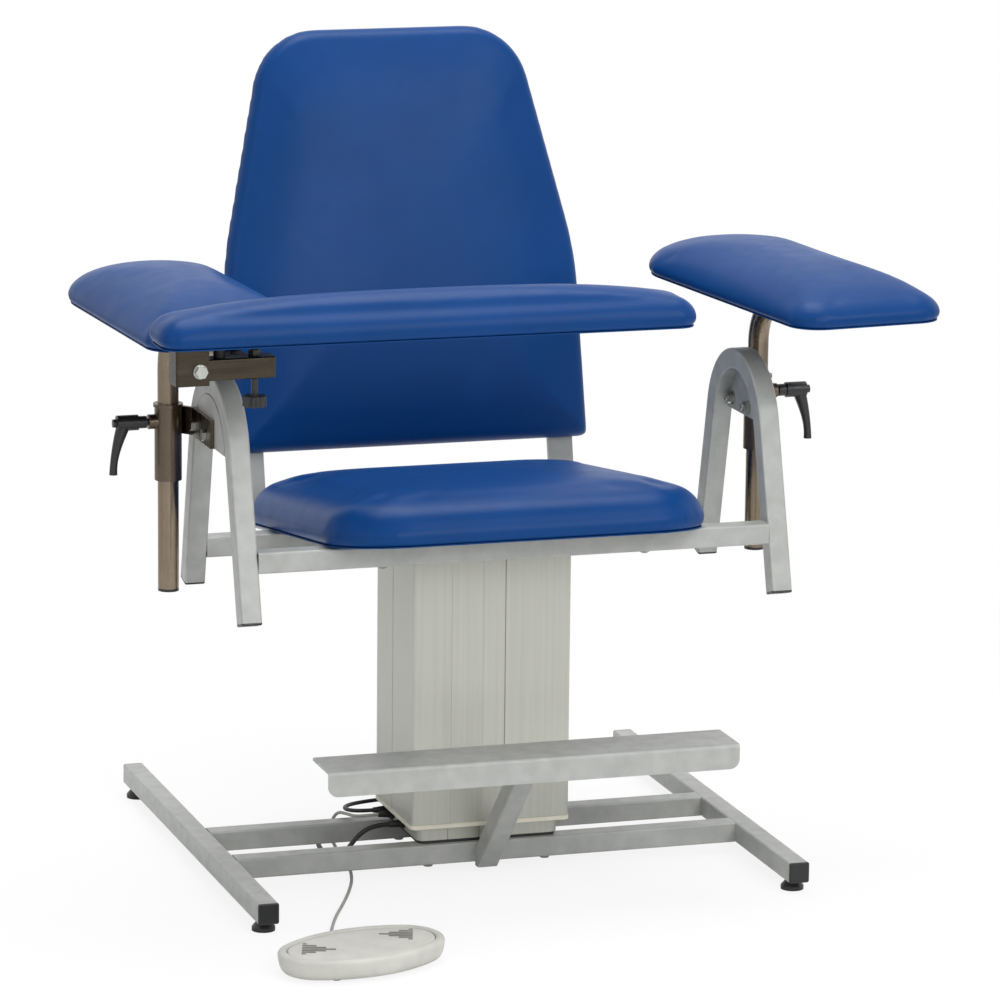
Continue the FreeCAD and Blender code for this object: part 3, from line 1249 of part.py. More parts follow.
def rounded_route(points):
    """Straight runs joined by tangent arcs, each as large as its two runs allow."""
    edges, radii = [], []
    here = points[0]
    for i in range(1, len(points) - 1):
        back, ahead = points[i - 1] - points[i], points[i + 1] - points[i]
        shorter = min(back.Length, ahead.Length)
        reach = shorter * BEND_SHARE
        half = (math.pi - back.getAngle(ahead)) / 2
        radius = reach / math.tan(half)
        radii.append(radius)
        start = points[i] + back.normalize() * reach
        end = points[i] + ahead.normalize() * reach
        bisector = (back + ahead).normalize()
        middle = points[i] + bisector * (radius / math.cos(half) - radius)
        edges.append(Part.LineSegment(here, start).toShape())
        edges.append(Part.Arc(start, middle, end).toShape())
        here = end
    edges.append(Part.LineSegment(here, points[-1]).toShape())
    return edges, radii


def cable(name, points, diameter):
    edges, radii = rounded_route([V(*point) for point in points])
    tube = smooth_tube(edges, diameter / 2)
    length = sum(edge.Length for edge in edges)
    fill = tube.Volume / (math.pi * diameter ** 2 / 4 * length)
    print(name, "length %.0f" % length, "least radius %.1f" % min(radii), "volume share %.4f" % fill)
    return tube


def biarc(p0, t0, p1, t1):
    """Two arcs that leave p0 along t0 and reach p1 along t1."""
    v = p1 - p0
    t = t0 + t1
    k = 2 * (1 - t0.dot(t1))
    s = (-v.dot(t) + math.sqrt(v.dot(t) ** 2 + k * v.dot(v))) / k
    c0, c1 = p0 + t0 * s, p1 - t1 * s
    joint = (c0 + c1) * 0.5
    return [arc_by_corner(p0, c0, joint), arc_by_corner(joint, c1, p1)]


def arc_by_corner(start, corner, end):
    """The arc that touches both legs of a corner at their ends."""
    half_chord = (end - start) * 0.5
    middle = start + half_chord
    rise = corner - middle
    bend = math.atan2(rise.Length, half_chord.Length)
    top = middle + rise.normalize() * (half_chord.Length * math.tan(bend / 2))
    return Part.Arc(start, top, end).toShape()


def coil_point(turns):
    """A point of the coil and its direction after a number of turns."""
    middle = coil_middle()
    layer_turns = COIL_TURNS / COIL_LAYERS

    def place(count):
        layer = min(int(count / layer_turns), COIL_LAYERS - 1)
        share = count / layer_turns - layer
        inward = share if layer % 2 == 0 else 1 - share
        radius = COIL_OUTER + (COIL_INNER - COIL_OUTER) * inward
        climb = 0
        for step in range(1, COIL_LAYERS):
            since = (count - step * layer_turns) * 2 + 0.5
            eased = max(0.0, min(1.0, since))
            climb += eased * eased * (3 - 2 * eased)
        angle = math.radians(-RIGHT_ANGLE) + count * 2 * math.pi
        rise = climb * (MAINS_CABLE + COIL_GAP)
        return middle + V(radius * math.cos(angle), radius * math.sin(angle), rise)

    ahead, behind = place(turns + COIL_PROBE), place(max(0.0, turns - COIL_PROBE))
    return place(turns), (ahead - behind).normalize()


def coil_middle():
    """The coil's centre: its first loop starts one cable past the route's end."""
    x, y, z = MAINS_ROUTE[-1]
    return V(x + MAINS_CABLE, y + COIL_OUTER, z)


def coil_edges():
    """A short straight end, the loops in quarter turns, and the tail to the plug."""
    edges = [Part.LineSegment(V(*MAINS_ROUTE[-1]), coil_point(0)[0]).toShape()]
    for i in range(int(COIL_TURNS * COIL_STEPS)):
        p0, t0 = coil_point(i / COIL_STEPS)
        p1, t1 = coil_point((i + 1) / COIL_STEPS)
        if i == 0:
            t0 = X_WAY
        if i == int(COIL_TURNS * COIL_STEPS) - 1:
            t1 = Y_WAY
        edges += biarc(p0, t0, p1, t1)
    tail = [coil_point(COIL_TURNS)[0]] + [V(*point) for point in TAIL_ROUTE]
    return edges + rounded_route(tail)[0]


def least_gap(edges, diameter):
    """The smallest clear distance between two stretches of the coil, on points along its edges."""
    points, places = [], []
    run = 0
    for edge in edges:
        samples = edge.discretize(Number=GAP_POINTS)[:-1]
        for k, point in enumerate(samples):
            points.append(point)
            places.append(run + edge.Length * k / len(samples))
        run += edge.Length
    best = run
    for i in range(len(points)):
        for j in range(i + 1, len(points)):
            if places[j] - places[i] > diameter * GAP_APART:
                best = min(best, points[i].distanceToPoint(points[j]))
    return best - diameter


def mains_coil():
    """The stored length of the mains lead: loops in layers, then a tail to the plug."""
    edges = coil_edges()
    gap = least_gap(edges, MAINS_CABLE)
    tube = smooth_tube(edges, MAINS_CABLE / 2)
    length = sum(edge.Length for edge in edges)
    fill = tube.Volume / (math.pi * MAINS_CABLE ** 2 / 4 * length)
    print("mains_coil length %.0f" % length, "least gap %.2f" % gap, "volume share %.4f" % fill)
    return tube


def mains_plug():
    """A moulded plug with two flat pins and an earth pin, drawn along x and laid at the tail's end."""
    sections = []
    for x, share in ((0, PLUG_NECK_SHARE), (PLUG_NECK, PLUG_SHOULDER_SHARE),
                     (PLUG_LENGTH - PLUG_EDGE, 1.0), (PLUG_LENGTH, 1.0)):
        plan = rectangle(PLUG_WIDTH * share, PLUG_HEIGHT * share)
        sections.append(corner_wire(plan, PLUG_EDGE, side(x)))
    body = Part.makeLoft(sections, True, True)
    for sign in (-1, 1):
        y = sign * PIN_SPACING / 2
        body = body.fuse(block((PLUG_LENGTH, PLUG_LENGTH + PIN_LENGTH),
                               (y - PIN_THICK / 2, y + PIN_THICK / 2), (0, PIN_WIDTH)))
    earth = V(PLUG_LENGTH, 0, -PIN_WIDTH)
    body = body.fuse(rod(EARTH_RADIUS, earth, earth + X_WAY * (PIN_LENGTH + EARTH_RADIUS)))
    end = V(*TAIL_ROUTE[-1])
    way = end - V(*TAIL_ROUTE[-2])
    heading = math.degrees(math.atan2(way.y, way.x))
    body.Placement = FreeCAD.Placement(end, FreeCAD.Rotation(Z_WAY, heading))
    return body


def build():
    parts = {
        "side_rail_left": side_rail(-SIDE_RAIL_X),
        "side_rail_right": side_rail(SIDE_RAIL_X),
        "cross_rail_front": cross_rail(CROSS_FRONT_Y),
        "cross_rail_rear": cross_rail(CROSS_REAR_Y),
        "rail_end_caps": rail_end_caps(),
        "levelling_glides": levelling_glides(),
        "footrest_strut": footrest_strut(),
        "footrest_plate": footrest_plate(),
        "column_bolts": column_bolts(),
        "column_foot_plate": column_foot_plate(),
        "column_inner_profile": column_inner_profile(),
        "lift_motor": lift_motor(),
        "lead_screw": lead_screw(),
        "cable_glands": cable_glands(),
        "pedal_base": pedal_base(),
        "pedal_feet": pedal_feet(),
        "pedal_rocker": pedal_rocker(),
        "column_outer_profile": column_outer_profile(),
        "column_rim": column_rim(),
        "column_top_plate": column_top_plate(),
        "lift_nut": lift_nut(),
        "seat_bearers": seat_bearers(),
        "cross_tube_front": cross_tube(FRONT_TUBE_REAR, FRONT_TUBE_TOP),
        "cross_tube_rear": cross_tube(REAR_TUBE_FRONT + TUBE, rear_tube_top()),
        "arch_right": arch(),
        "arch_left": mirrored(arch()),
        "arch_gussets": arch_gussets(),
        "leg_plugs": leg_plugs(),
        "sleeve_right": sleeve(),
        "sleeve_left": mirrored(sleeve()),
        "sleeve_brackets": sleeve_brackets(),
        "bracket_bolts": bracket_bolts(),
        "seat_board": seat_board(),
        "seat_cushion": seat_cushion(),
        "back_posts": back_posts(),
        "back_board": back_board(),
        "back_cushion": back_cushion(),
        "clamp_lever_right": clamp_lever(),
        "clamp_lever_left": mirrored(clamp_lever()),
        "bar_tube": bar_tube(),
        "bar_tube_cap": bar_tube_cap(),
        "bar_pivot_bolt": bar_pivot_bolt(),
        "bar_rest_pads": bar_rest_pads(),
        "thumb_screw": thumb_screw(),
        "bar_bracket": bar_bracket(),
        "bar_board": bar_board(),
        "bar_cushion": bar_cushion(),
        "pedal_cable": cable("pedal_cable", PEDAL_ROUTE, PEDAL_CABLE),
        "link_cable": cable("link_cable", LINK_ROUTE, LINK_CABLE),
        "mains_cable": cable("mains_cable", MAINS_ROUTE, MAINS_CABLE),
        "mains_coil": mains_coil(),
        "mains_plug": mains_plug(),
    }
    for sign, name in ((-1, "left"), (1, "right")):
        parts["arm_post_" + name] = arm_post(sign)
        parts["post_plug_" + name] = post_plug(sign)
        parts["arm_board_" + name] = arm_board(sign)
        parts["arm_cushion_" + name] = arm_cushion(sign)
    return parts


os.makedirs("parts", exist_ok=True)
for node, shape in build().items():
    if not shape.isValid():
        print("not valid:", node)
    shape.exportStep("parts/" + node + ".step")
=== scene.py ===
import math

import bmesh
import bpy
import numpy as np
from mathutils import Matrix, Vector


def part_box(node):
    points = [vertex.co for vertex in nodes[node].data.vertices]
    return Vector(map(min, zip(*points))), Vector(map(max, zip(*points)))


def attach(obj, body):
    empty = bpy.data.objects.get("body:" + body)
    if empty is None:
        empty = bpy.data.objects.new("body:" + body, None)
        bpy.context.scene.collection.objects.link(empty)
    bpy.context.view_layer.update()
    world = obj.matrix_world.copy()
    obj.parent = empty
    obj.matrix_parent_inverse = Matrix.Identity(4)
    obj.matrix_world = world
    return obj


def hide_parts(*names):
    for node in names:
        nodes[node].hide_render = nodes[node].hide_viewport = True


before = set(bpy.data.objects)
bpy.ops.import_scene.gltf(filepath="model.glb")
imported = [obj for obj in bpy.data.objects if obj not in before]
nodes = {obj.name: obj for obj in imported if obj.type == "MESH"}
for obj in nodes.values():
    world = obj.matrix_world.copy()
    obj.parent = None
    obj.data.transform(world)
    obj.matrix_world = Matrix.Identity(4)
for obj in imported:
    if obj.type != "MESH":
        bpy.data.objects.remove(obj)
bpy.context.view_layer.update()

MM = 0.001

# Camera, as the photograph's own viewing angle
CAMERA_PLACE = (-1.97440, -6.34559, 1.87000)
CAMERA_YAW = -0.306393
CAMERA_PITCH = -0.210421
CAMERA_ROLL = 0.010242
CAMERA_FOCAL_PIXELS = 5549.9
PHOTO_PIXELS = 1000.0
SENSOR = 36.0

# Arms and the bar: the same places as in the CAD, in metres
POST_X = 0.3777
POST_Y = 0.0313
SWIVEL_LEFT = 3.0
SWIVEL_RIGHT = 6.2
PAD_WIDTH = 0.203
PAD_BOTTOM = 0.697
PAD_REAR_LEFT = 0.168
PAD_REAR_RIGHT = 0.187
PAD_FRONT_LEFT = 0.271
PAD_FRONT_RIGHT = 0.3165
PAD_FRONT_CORNER = 0.040
PAD_REAR_CORNER = 0.098
PAD_HEIGHT = 0.030
PAD_CROWN = 0.0245
PAD_EDGE = 0.018
PAD_POWER = 3.0
BAR_BOTTOM = 0.717
BAR_CENTRE = (0.2076, -0.338)
BAR_HALF_LENGTH = 0.325
BAR_HALF_DEPTH = 0.0475
BAR_CORNER = 0.028
BAR_TURN = -3.0
BAR_HEIGHT = 0.033
BAR_CROWN = 0.022
BAR_EDGE = 0.018
BAR_POWER = 2.6

# Seat and back
SEAT_TILT = 7.6
SEAT_HINGE_Y = -0.1506
SEAT_HINGE_Z = 0.4395
SEAT_WIDTH = 0.478
SEAT_FRONT = -0.098
SEAT_LENGTH = 0.494
SEAT_CORNER = 0.090
SEAT_REAR_CORNER = 0.085
SEAT_HEIGHT = 0.054
SEAT_CROWN = 0.0135
SEAT_EDGE = 0.038
SEAT_POWER = 2.6
BACK_RECLINE = 12.5
BACK_X = 0.002
BACK_Y = 0.290
BACK_Z = 0.460
BACK_LENGTH = 0.534
BACK_HALF_BOTTOM = 0.236
BACK_HALF_HIP = 0.234
BACK_HIP = 0.237
BACK_HALF_SHOULDER = 0.186
BACK_SHOULDER = 0.446
BACK_TOP_CORNER = 0.086
BACK_FOOT_CORNER = 0.003
BACK_HEIGHT = 0.030
BACK_CROWN = 0.024
BACK_EDGE = 0.012
BACK_POWER = 3.0

# Column
COLUMN_HALF_WIDTH = 0.1005
COLUMN_HALF_DEPTH = 0.0795
# Each groove of the column's front: its place and its depth
COLUMN_GROOVES = ((-0.052, 0.0004), (-0.012, 0.0003), (0.0165, 0.0016))
COLUMN_SIDE_GROOVE = 0.008
COLUMN_WALL = 0.004
COLUMN_CORNER = 0.004
COLUMN_INNER_CORNER = 0.0005
COLUMN_CORNER_STEPS = 5
COLUMN_HEAD_LOW = 0.378
COLUMN_HEAD_TOP = 0.3936
COLUMN_HEAD_REAR = 0.0657
GROOVE_DEPTH = 0.0016
GROOVE_HALF = 0.0008
GROOVE_FLOOR_SHARE = 0.8

# The pedal, drawn along x about its own middle
PEDAL_PLACE = (-0.2614, -0.4179)
PEDAL_TURN = 15.0
PEDAL_HALF_LENGTH = 0.105
PEDAL_HALF_WIDTH = 0.063
PEDAL_END_RADIUS = 0.048
# Height and inset of the housing's outside, rim and inner wall, and of the rocking top
PEDAL_CASE = (
    (0.0030, 0.0090), (0.0036, 0.0065), (0.0060, 0.0042), (0.0100, 0.0022), (0.0150, 0.0009),
    (0.0200, 0.0002), (0.0230, 0.0), (0.0250, 0.0006), (0.0266, 0.0020), (0.0276, 0.0038),
    (0.0280, 0.0060), (0.0278, 0.0080), (0.0272, 0.0094), (0.0264, 0.0101), (0.0250, 0.0104),
    (0.0230, 0.0105), (0.0120, 0.0106), (0.0070, 0.0107),
)
PEDAL_TOP = (
    (0.0210, 0.0128), (0.0220, 0.0117), (0.0250, 0.0113), (0.0261, 0.0121), (0.0265, 0.0145),
    (0.0264, 0.0200), (0.0262, 0.0300), (0.0261, 0.0400),
)
ARROW_RIBS = 7
ARROW_LENGTH = 0.040
ARROW_BASE = 0.046
ARROW_REACH = 0.073
ARROW_TURN = -17.0
ARROW_LOW = 0.0252
ARROW_TOP = 0.0274
ARROW_RIB_HALF = 0.0012
ARROW_RIB_END = 0.0008
ARROW_RIB_END_SIZE = 0.4
ARROW_RIB_TOP_SHARE = 0.6
ARROW_TIP_SHARE = 0.1
ARROW_SHIFT = 0.009
BOOT_LENGTH = 0.016
BOOT_RADII = (0.0045, 0.0027)
BOOT_RIBS = 5
BOOT_GROOVE = 0.0006
BOOT_SIDES = 16

# Hems, staples, screws and the coil's tie
HEM_NEAR = 0.0045
HEM_FAR = 0.024
HEM_THICK = 0.0007
HEM_UNEVEN = 0.06
HEM_WAVE = 1.7
STAPLE_INSET = 0.0165
STAPLE_PITCH = 0.027
STAPLE_HALF = 0.0048
STAPLE_RADIUS = 0.00045
STAPLE_SKEW = 0.14
STAPLE_SKEW_STEP = 2.3
# Along a staple: share of its half length, height and lean of the wire
STAPLE_WIRE = ((-1.0, 0.0012, 1.0), (-0.94, -HEM_THICK, 0.7), (0.94, -HEM_THICK, -0.7), (1.0, 0.0012, -1.0))
SCREW_RADIUS = 0.0065
SCREW_HEAD = 0.0038
# Up a screw's head and down its recess: share of the radius and of the height, and whether a hexagon
SCREW_RINGS = (
    (1.0, -0.2, 0), (1.0, 0.28, 0), (0.88, 0.7, 0), (0.62, 0.96, 0), (0.46, 1.0, 1), (0.44, 0.45, 1),
)
BACK_POST_X = 0.205
BACK_POST_THICK = 0.008
BACK_SCREWS = (0.055, 0.225)
ARM_TUBE_UNDER = 0.6716
ARM_SCREWS_LEFT = (-0.100, -0.240)
ARM_SCREWS_RIGHT = (-0.090, -0.160)
SEAT_SCREW_X = 0.165
TIE_ANGLE = 150.0
TIE_HALF = 0.007
TIE_THICK = 0.0008
TIE_CORNER = 0.004

# Looks
VINYL_BLUE = (6, 57, 114)
DUST_COVER_DARK = (16, 16, 18)
DUST_COVER_LIGHT = (34, 34, 36)
# Each other material's colour as sRGB values
COLOURS = {
    "frame_coat": (167, 168, 164),
    "dark_steel": (30, 30, 32),
    "motor_case": (40, 40, 42),
    "column_coat": (184, 184, 174),
    "nickel_steel": (130, 117, 101),
    "brown_nickel": (102, 91, 79),
    "dull_nickel": (70, 64, 55),
    "zinc_steel": (172, 174, 168),
    "screw_steel": (160, 160, 160),
    "nut_brass": (190, 150, 80),
    "cream_plastic": (226, 222, 204),
    "black_plastic": (24, 24, 26),
    "black_rubber": (20, 20, 21),
    "pedal_shell": (192, 191, 183),
    "pedal_top": (198, 197, 189),
    "black_sheath": (22, 22, 24),
    "tie_fabric": (30, 30, 33),
    "grey_sheath": (172, 171, 164),
    "arrow_grey": (122, 121, 116),
}
VINYL_SPECULAR = 0.13
ANODISED_METALLIC = 0.35
WORLD_TINT = (0.95, 0.97, 1.0, 1)
WORLD_STRENGTH = 0.45
FLOOR_RADIUS = 14.0
FLOOR_DROP = 0.0005
FLOOR_CORNERS = 96
FLOOR_WHITE = (0.92, 0.92, 0.92, 1)
FLOOR_ROUGHNESS = 0.9
# The floor fades to white between these distances, and how far it is faded at each
FLOOR_FADE_FROM = (0.5, 0.85)
FLOOR_FADE_TO = (1.6, 1.0)
# Each lamp's name, place, target, size and power
LAMPS = (
    ("key", (2.2, -3.6, 3.4), (0, 0, 0.5), (2.0, 2.0), 66),
    ("front", (0.2, -4.4, 2.2), (0, 0, 0.8), (1.8, 1.4), 52),
    ("fill", (-3.6, -2.4, 2.2), (0, 0, 0.5), (2.4, 2.4), 20),
    ("top", (0.2, 0.4, 3.8), (0, 0, 0.5), (2.4, 2.4), 108),
)

# How upholstery is meshed and swollen; a swell is the furthest that the cloth may move
VOXEL = 0.005
SMOOTH_BEFORE_WRAP = 4
SMOOTH_AFTER_WRAP = 2
CLOTH_FRAMES = 20
CLOTH_QUALITY = 5
CLOTH_PRESSURE = 4.0
SMOOTH_AFTER_CLOTH = 8
PINNED_SHARE = 0.35
SEAT_SWELL = 0.0030
BACK_SWELL = 0.0010
PAD_SWELL = 0.0018
BAR_SWELL = 0.0015
DUST_COVER_HEIGHT = 0.0012
# A pad's lower edge: shares of its height, and of the small rounding where the cover is wrapped under
WRAP = 0.012
LOWER_SHARES = ((0.0, 1.6), (0.0, 0.9), (0.0, 0.45), (0.07, 0.16), (0.16, 0.03), (0.26, 0.0))
SIDE_LOW_SHARE = 0.26
SIDE_STEPS = 9
# Shares of the outline at which the crown is drawn
CROWN_SIZES = (0.97, 0.93, 0.885, 0.84, 0.78, 0.71, 0.64, 0.53, 0.42, 0.30, 0.18, 0.06)

# Cables: the routes that the CAD's tubes follow, in millimetres
PEDAL_CABLE = 4.0
LINK_CABLE = 5.0
MAINS_CABLE = 6.0
PEDAL_ROUTE = (
    (-110.0, 36.0, 50.0), (-124.0, 36.0, 50.0), (-136.0, 50.0, 46.0), (-140.0, 74.0, 43.5),
    (-145.0, 98.0, 40.0), (-149.0, 112.0, 24.0), (-152.0, 104.0, 7.0), (-154.0, 78.0, 2.2),
    (-157.0, 38.0, 2.2), (-162.0, -15.0, 2.2), (-173.0, -70.0, 2.2), (-192.0, -123.0, 2.2),
    (-215.0, -176.0, 2.2), (-240.0, -229.0, 2.2), (-259.0, -280.0, 2.3), (-271.0, -320.0, 6.5),
    (-276.0, -350.0, 9.5),
)
LINK_ROUTE = (
    (-110.0, 58.0, 50.0), (-124.0, 58.0, 50.0), (-137.0, 72.0, 48.0), (-138.0, 94.0, 45.5),
    (-126.0, 114.0, 43.5), (-104.0, 126.0, 42.5), (-80.0, 126.0, 44.0), (-60.0, 116.0, 47.5),
    (-50.0, 105.0, 50.0), (-50.0, 90.0, 50.0),
)
MAINS_ROUTE = (
    (-110.0, -10.0, 50.0), (-129.0, -10.0, 50.0), (-150.0, -17.0, 42.0), (-165.0, -22.0, 26.0),
    (-174.0, -12.0, 9.0), (-177.0, 14.0, 3.4), (-177.0, 52.0, 3.2), (-172.0, 96.0, 3.2),
    (-150.0, 136.0, 3.2), (-108.0, 162.0, 3.2), (-58.0, 181.0, 3.2), (-10.0, 199.0, 3.2),
    (30.0, 209.5, 3.2), (61.0, 209.5, 3.2),
)
COIL_OUTER = 41.5
COIL_INNER = 24.5
COIL_LAYERS = 4
COIL_TURNS = 10.25
COIL_GAP = 0.6
COIL_POINTS_PER_TURN = 16
COIL_CLIMB_TURNS = 0.5
CORD_SIDES = 5
CORD_STEPS = 8
CORD_ORDER = 3
TAIL_ROUTE = (
    (108.5, 277.0, 23.0), (107.0, 305.0, 17.5), (100.0, 331.0, 10.5), (87.0, 354.0, 10.5),
)


# Camera

def make_camera():
    data = bpy.data.cameras.new("camera")
    data.sensor_fit = "HORIZONTAL"
    data.sensor_width = SENSOR
    data.lens = CAMERA_FOCAL_PIXELS / PHOTO_PIXELS * SENSOR
    data.clip_end = 100.0
    camera = bpy.data.objects.new("camera", data)
    bpy.context.scene.collection.objects.link(camera)
    yaw, pitch, roll = CAMERA_YAW, CAMERA_PITCH, CAMERA_ROLL
    forward = Vector((-math.sin(yaw) * math.cos(pitch), math.cos(yaw) * math.cos(pitch), math.sin(pitch)))
    right = Vector((math.cos(yaw), math.sin(yaw), 0))
    up = right.cross(forward)
    right, up = math.cos(roll) * right + math.sin(roll) * up, math.cos(roll) * up - math.sin(roll) * right
    camera.matrix_world = Matrix((
        (right.x, up.x, -forward.x, CAMERA_PLACE[0]),
        (right.y, up.y, -forward.y, CAMERA_PLACE[1]),
        (right.z, up.z, -forward.z, CAMERA_PLACE[2]),
        (0, 0, 0, 1)))
    bpy.context.scene.camera = camera


# Material helpers

def linear(red, green, blue):
    """sRGB values from 0 to 255 as the shader's linear colour."""
    def one(value):
        share = value / 255.0
        return share / 12.92 if share <= 0.04045 else ((share + 0.055) / 1.055) ** 2.4
    return one(red), one(green), one(blue), 1.0


class Shader:
    """A material's node tree, with short ways to add to it."""

    def __init__(self, name):
        self.material = bpy.data.materials.new(name)
        self.material.use_nodes = True
        self.tree = self.material.node_tree
        self.surface = self.tree.nodes["Principled BSDF"]
        self.place = self.add("ShaderNodeTexCoord").outputs["Object"]

    def add(self, kind, **values):
        node = self.tree.nodes.new(kind)
        for key, value in values.items():
            setattr(node, key, value)
        return node

    def link(self, output, target):
        self.tree.links.new(output, target)

    def put(self, socket, value):
        self.surface.inputs[socket].default_value = value

    def noise(self, scale, detail=4.0, stretch=(1, 1, 1), roughness=0.5):
        mapping = self.add("ShaderNodeMapping")
        mapping.inputs["Scale"].default_value = stretch
        self.link(self.place, mapping.inputs["Vector"])
        noise = self.add("ShaderNodeTexNoise")
        noise.inputs["Scale"].default_value = scale
        noise.inputs["Detail"].default_value = detail
        noise.inputs["Roughness"].default_value = roughness
        self.link(mapping.outputs["Vector"], noise.inputs["Vector"])
        return noise.outputs["Fac"]

    def cells(self, scale, feature="F1"):
        cells = self.add("ShaderNodeTexVoronoi", feature=feature)
        cells.inputs["Scale"].default_value = scale
        self.link(self.place, cells.inputs["Vector"])
        return cells.outputs["Distance"]

    def ramp(self, value, low, high, start=0.3, end=0.7):
        """A value turned into a blend of two colours."""
        ramp = self.add("ShaderNodeValToRGB")
        ramp.color_ramp.elements[0].position = start
        ramp.color_ramp.elements[1].position = end
        ramp.color_ramp.elements[0].color = low
        ramp.color_ramp.elements[1].color = high
        self.link(value, ramp.inputs["Fac"])
        return ramp.outputs["Color"]

    def span(self, value, low, high, start=0.3, end=0.7):
        """A value moved from one range to another."""
        span = self.add("ShaderNodeMapRange")
        span.inputs["From Min"].default_value = start
        span.inputs["From Max"].default_value = end
        span.inputs["To Min"].default_value = low
        span.inputs["To Max"].default_value = high
        self.link(value, span.inputs["Value"])
        return span.outputs["Result"]

    def bump(self, height, strength, distance):
        bump = self.add("ShaderNodeBump")
        bump.inputs["Strength"].default_value = strength
        bump.inputs["Distance"].default_value = distance
        self.link(height, bump.inputs["Height"])
        last = self.surface.inputs["Normal"]
        if last.is_linked:
            self.link(last.links[0].from_socket, bump.inputs["Normal"])
        self.link(bump.outputs["Normal"], last)

    def colour(self, output):
        self.link(output, self.surface.inputs["Base Color"])

    def rough(self, output):
        self.link(output, self.surface.inputs["Roughness"])


def shade(colour, factor):
    return tuple(channel * factor for channel in colour[:3]) + (1.0,)


# Materials

def vinyl():
    """Smooth clinic vinyl: fine grain, a soft gloss and faint tonal variation."""
    s = Shader("blue_vinyl")
    blue = linear(*VINYL_BLUE)
    s.colour(s.ramp(s.noise(scale=9.0, detail=5.0), shade(blue, 0.93), shade(blue, 1.07)))
    s.rough(s.span(s.noise(scale=40.0, detail=3.0), 0.36, 0.42))
    s.put("Specular IOR Level", VINYL_SPECULAR)
    s.bump(s.cells(900.0), strength=0.10, distance=0.0002)
    s.bump(s.noise(scale=260.0, detail=4.0), strength=0.10, distance=0.0003)
    return s.material


def dust_cover():
    """Black woven cloth under the pads."""
    s = Shader("dust_cover")
    s.colour(s.ramp(s.cells(1400.0), linear(*DUST_COVER_DARK), linear(*DUST_COVER_LIGHT), 0.2, 0.6))
    s.rough(s.span(s.noise(200.0), 0.8, 0.95))
    s.bump(s.cells(1400.0), strength=0.5, distance=0.0003)
    return s.material


def powder_coat(name, roughness=0.38):
    """Powder coat: orange peel, slight mottling and a satin gloss."""
    s = Shader(name)
    colour = linear(*COLOURS[name])
    s.colour(s.ramp(s.noise(scale=48.0, detail=6.0), shade(colour, 0.90), shade(colour, 1.06), 0.34, 0.66))
    s.rough(s.span(s.noise(scale=90.0, detail=4.0), roughness - 0.08, roughness + 0.06))
    s.bump(s.noise(scale=260.0, detail=3.0), strength=0.18, distance=0.0003)
    return s.material


def anodised(name):
    """Extruded aluminium with fine upright draw lines."""
    s = Shader(name)
    colour = linear(*COLOURS[name])
    s.put("Metallic", ANODISED_METALLIC)
    lines = s.noise(260.0, 6.0, (1, 1, 0.012))
    s.colour(s.ramp(lines, shade(colour, 0.94), shade(colour, 1.05)))
    s.rough(s.span(lines, 0.36, 0.48))
    s.bump(lines, strength=0.10, distance=0.0002)
    return s.material


def plated_steel(name, roughness, stretch=(1, 1, 0.05), reflection_band_share=0.0):
    """Plated steel with drawing marks, a mottled tarnish and, on tubes, painted reflection: long light and
    dark bands along the tube.
    """
    s = Shader(name)
    colour = linear(*COLOURS[name])
    s.put("Metallic", 1.0)
    marks = s.noise(220.0, 8.0, stretch, 0.6)
    # Painted reflection: stretched noise gives light and dark bands along the tube, like the reflections a
    # plated tube shows
    painted_reflection_bands = s.noise(70.0, 5.0, stretch, 0.7)
    blend = s.add("ShaderNodeMix", data_type="RGBA")
    blend.inputs["Factor"].default_value = reflection_band_share
    tarnish = s.ramp(s.noise(scale=28.0, detail=6.0), shade(colour, 0.78), shade(colour, 1.15))
    s.link(tarnish, blend.inputs["A"])
    # The painted reflection bands, from 0.62 to 1.3 times the colour, are mixed over the tarnish by this
    # share
    s.link(s.ramp(painted_reflection_bands, shade(colour, 0.62), shade(colour, 1.3), 0.32, 0.7), blend.inputs["B"])
    s.colour(blend.outputs["Result"])
    s.rough(s.span(marks, roughness - 0.08, roughness + 0.12))
    s.bump(marks, strength=0.15, distance=0.0002)
    return s.material


def plastic(name, roughness, grain=1200.0):
    """Moulded plastic with a fine spark grain."""
    s = Shader(name)
    colour = linear(*COLOURS[name])
    s.colour(s.ramp(s.noise(scale=30.0, detail=4.0), shade(colour, 0.92), shade(colour, 1.08)))
    s.rough(s.span(s.noise(150.0), roughness - 0.06, roughness + 0.08))
    s.bump(s.noise(grain, 3.0), strength=0.15, distance=0.0002)
    return s.material


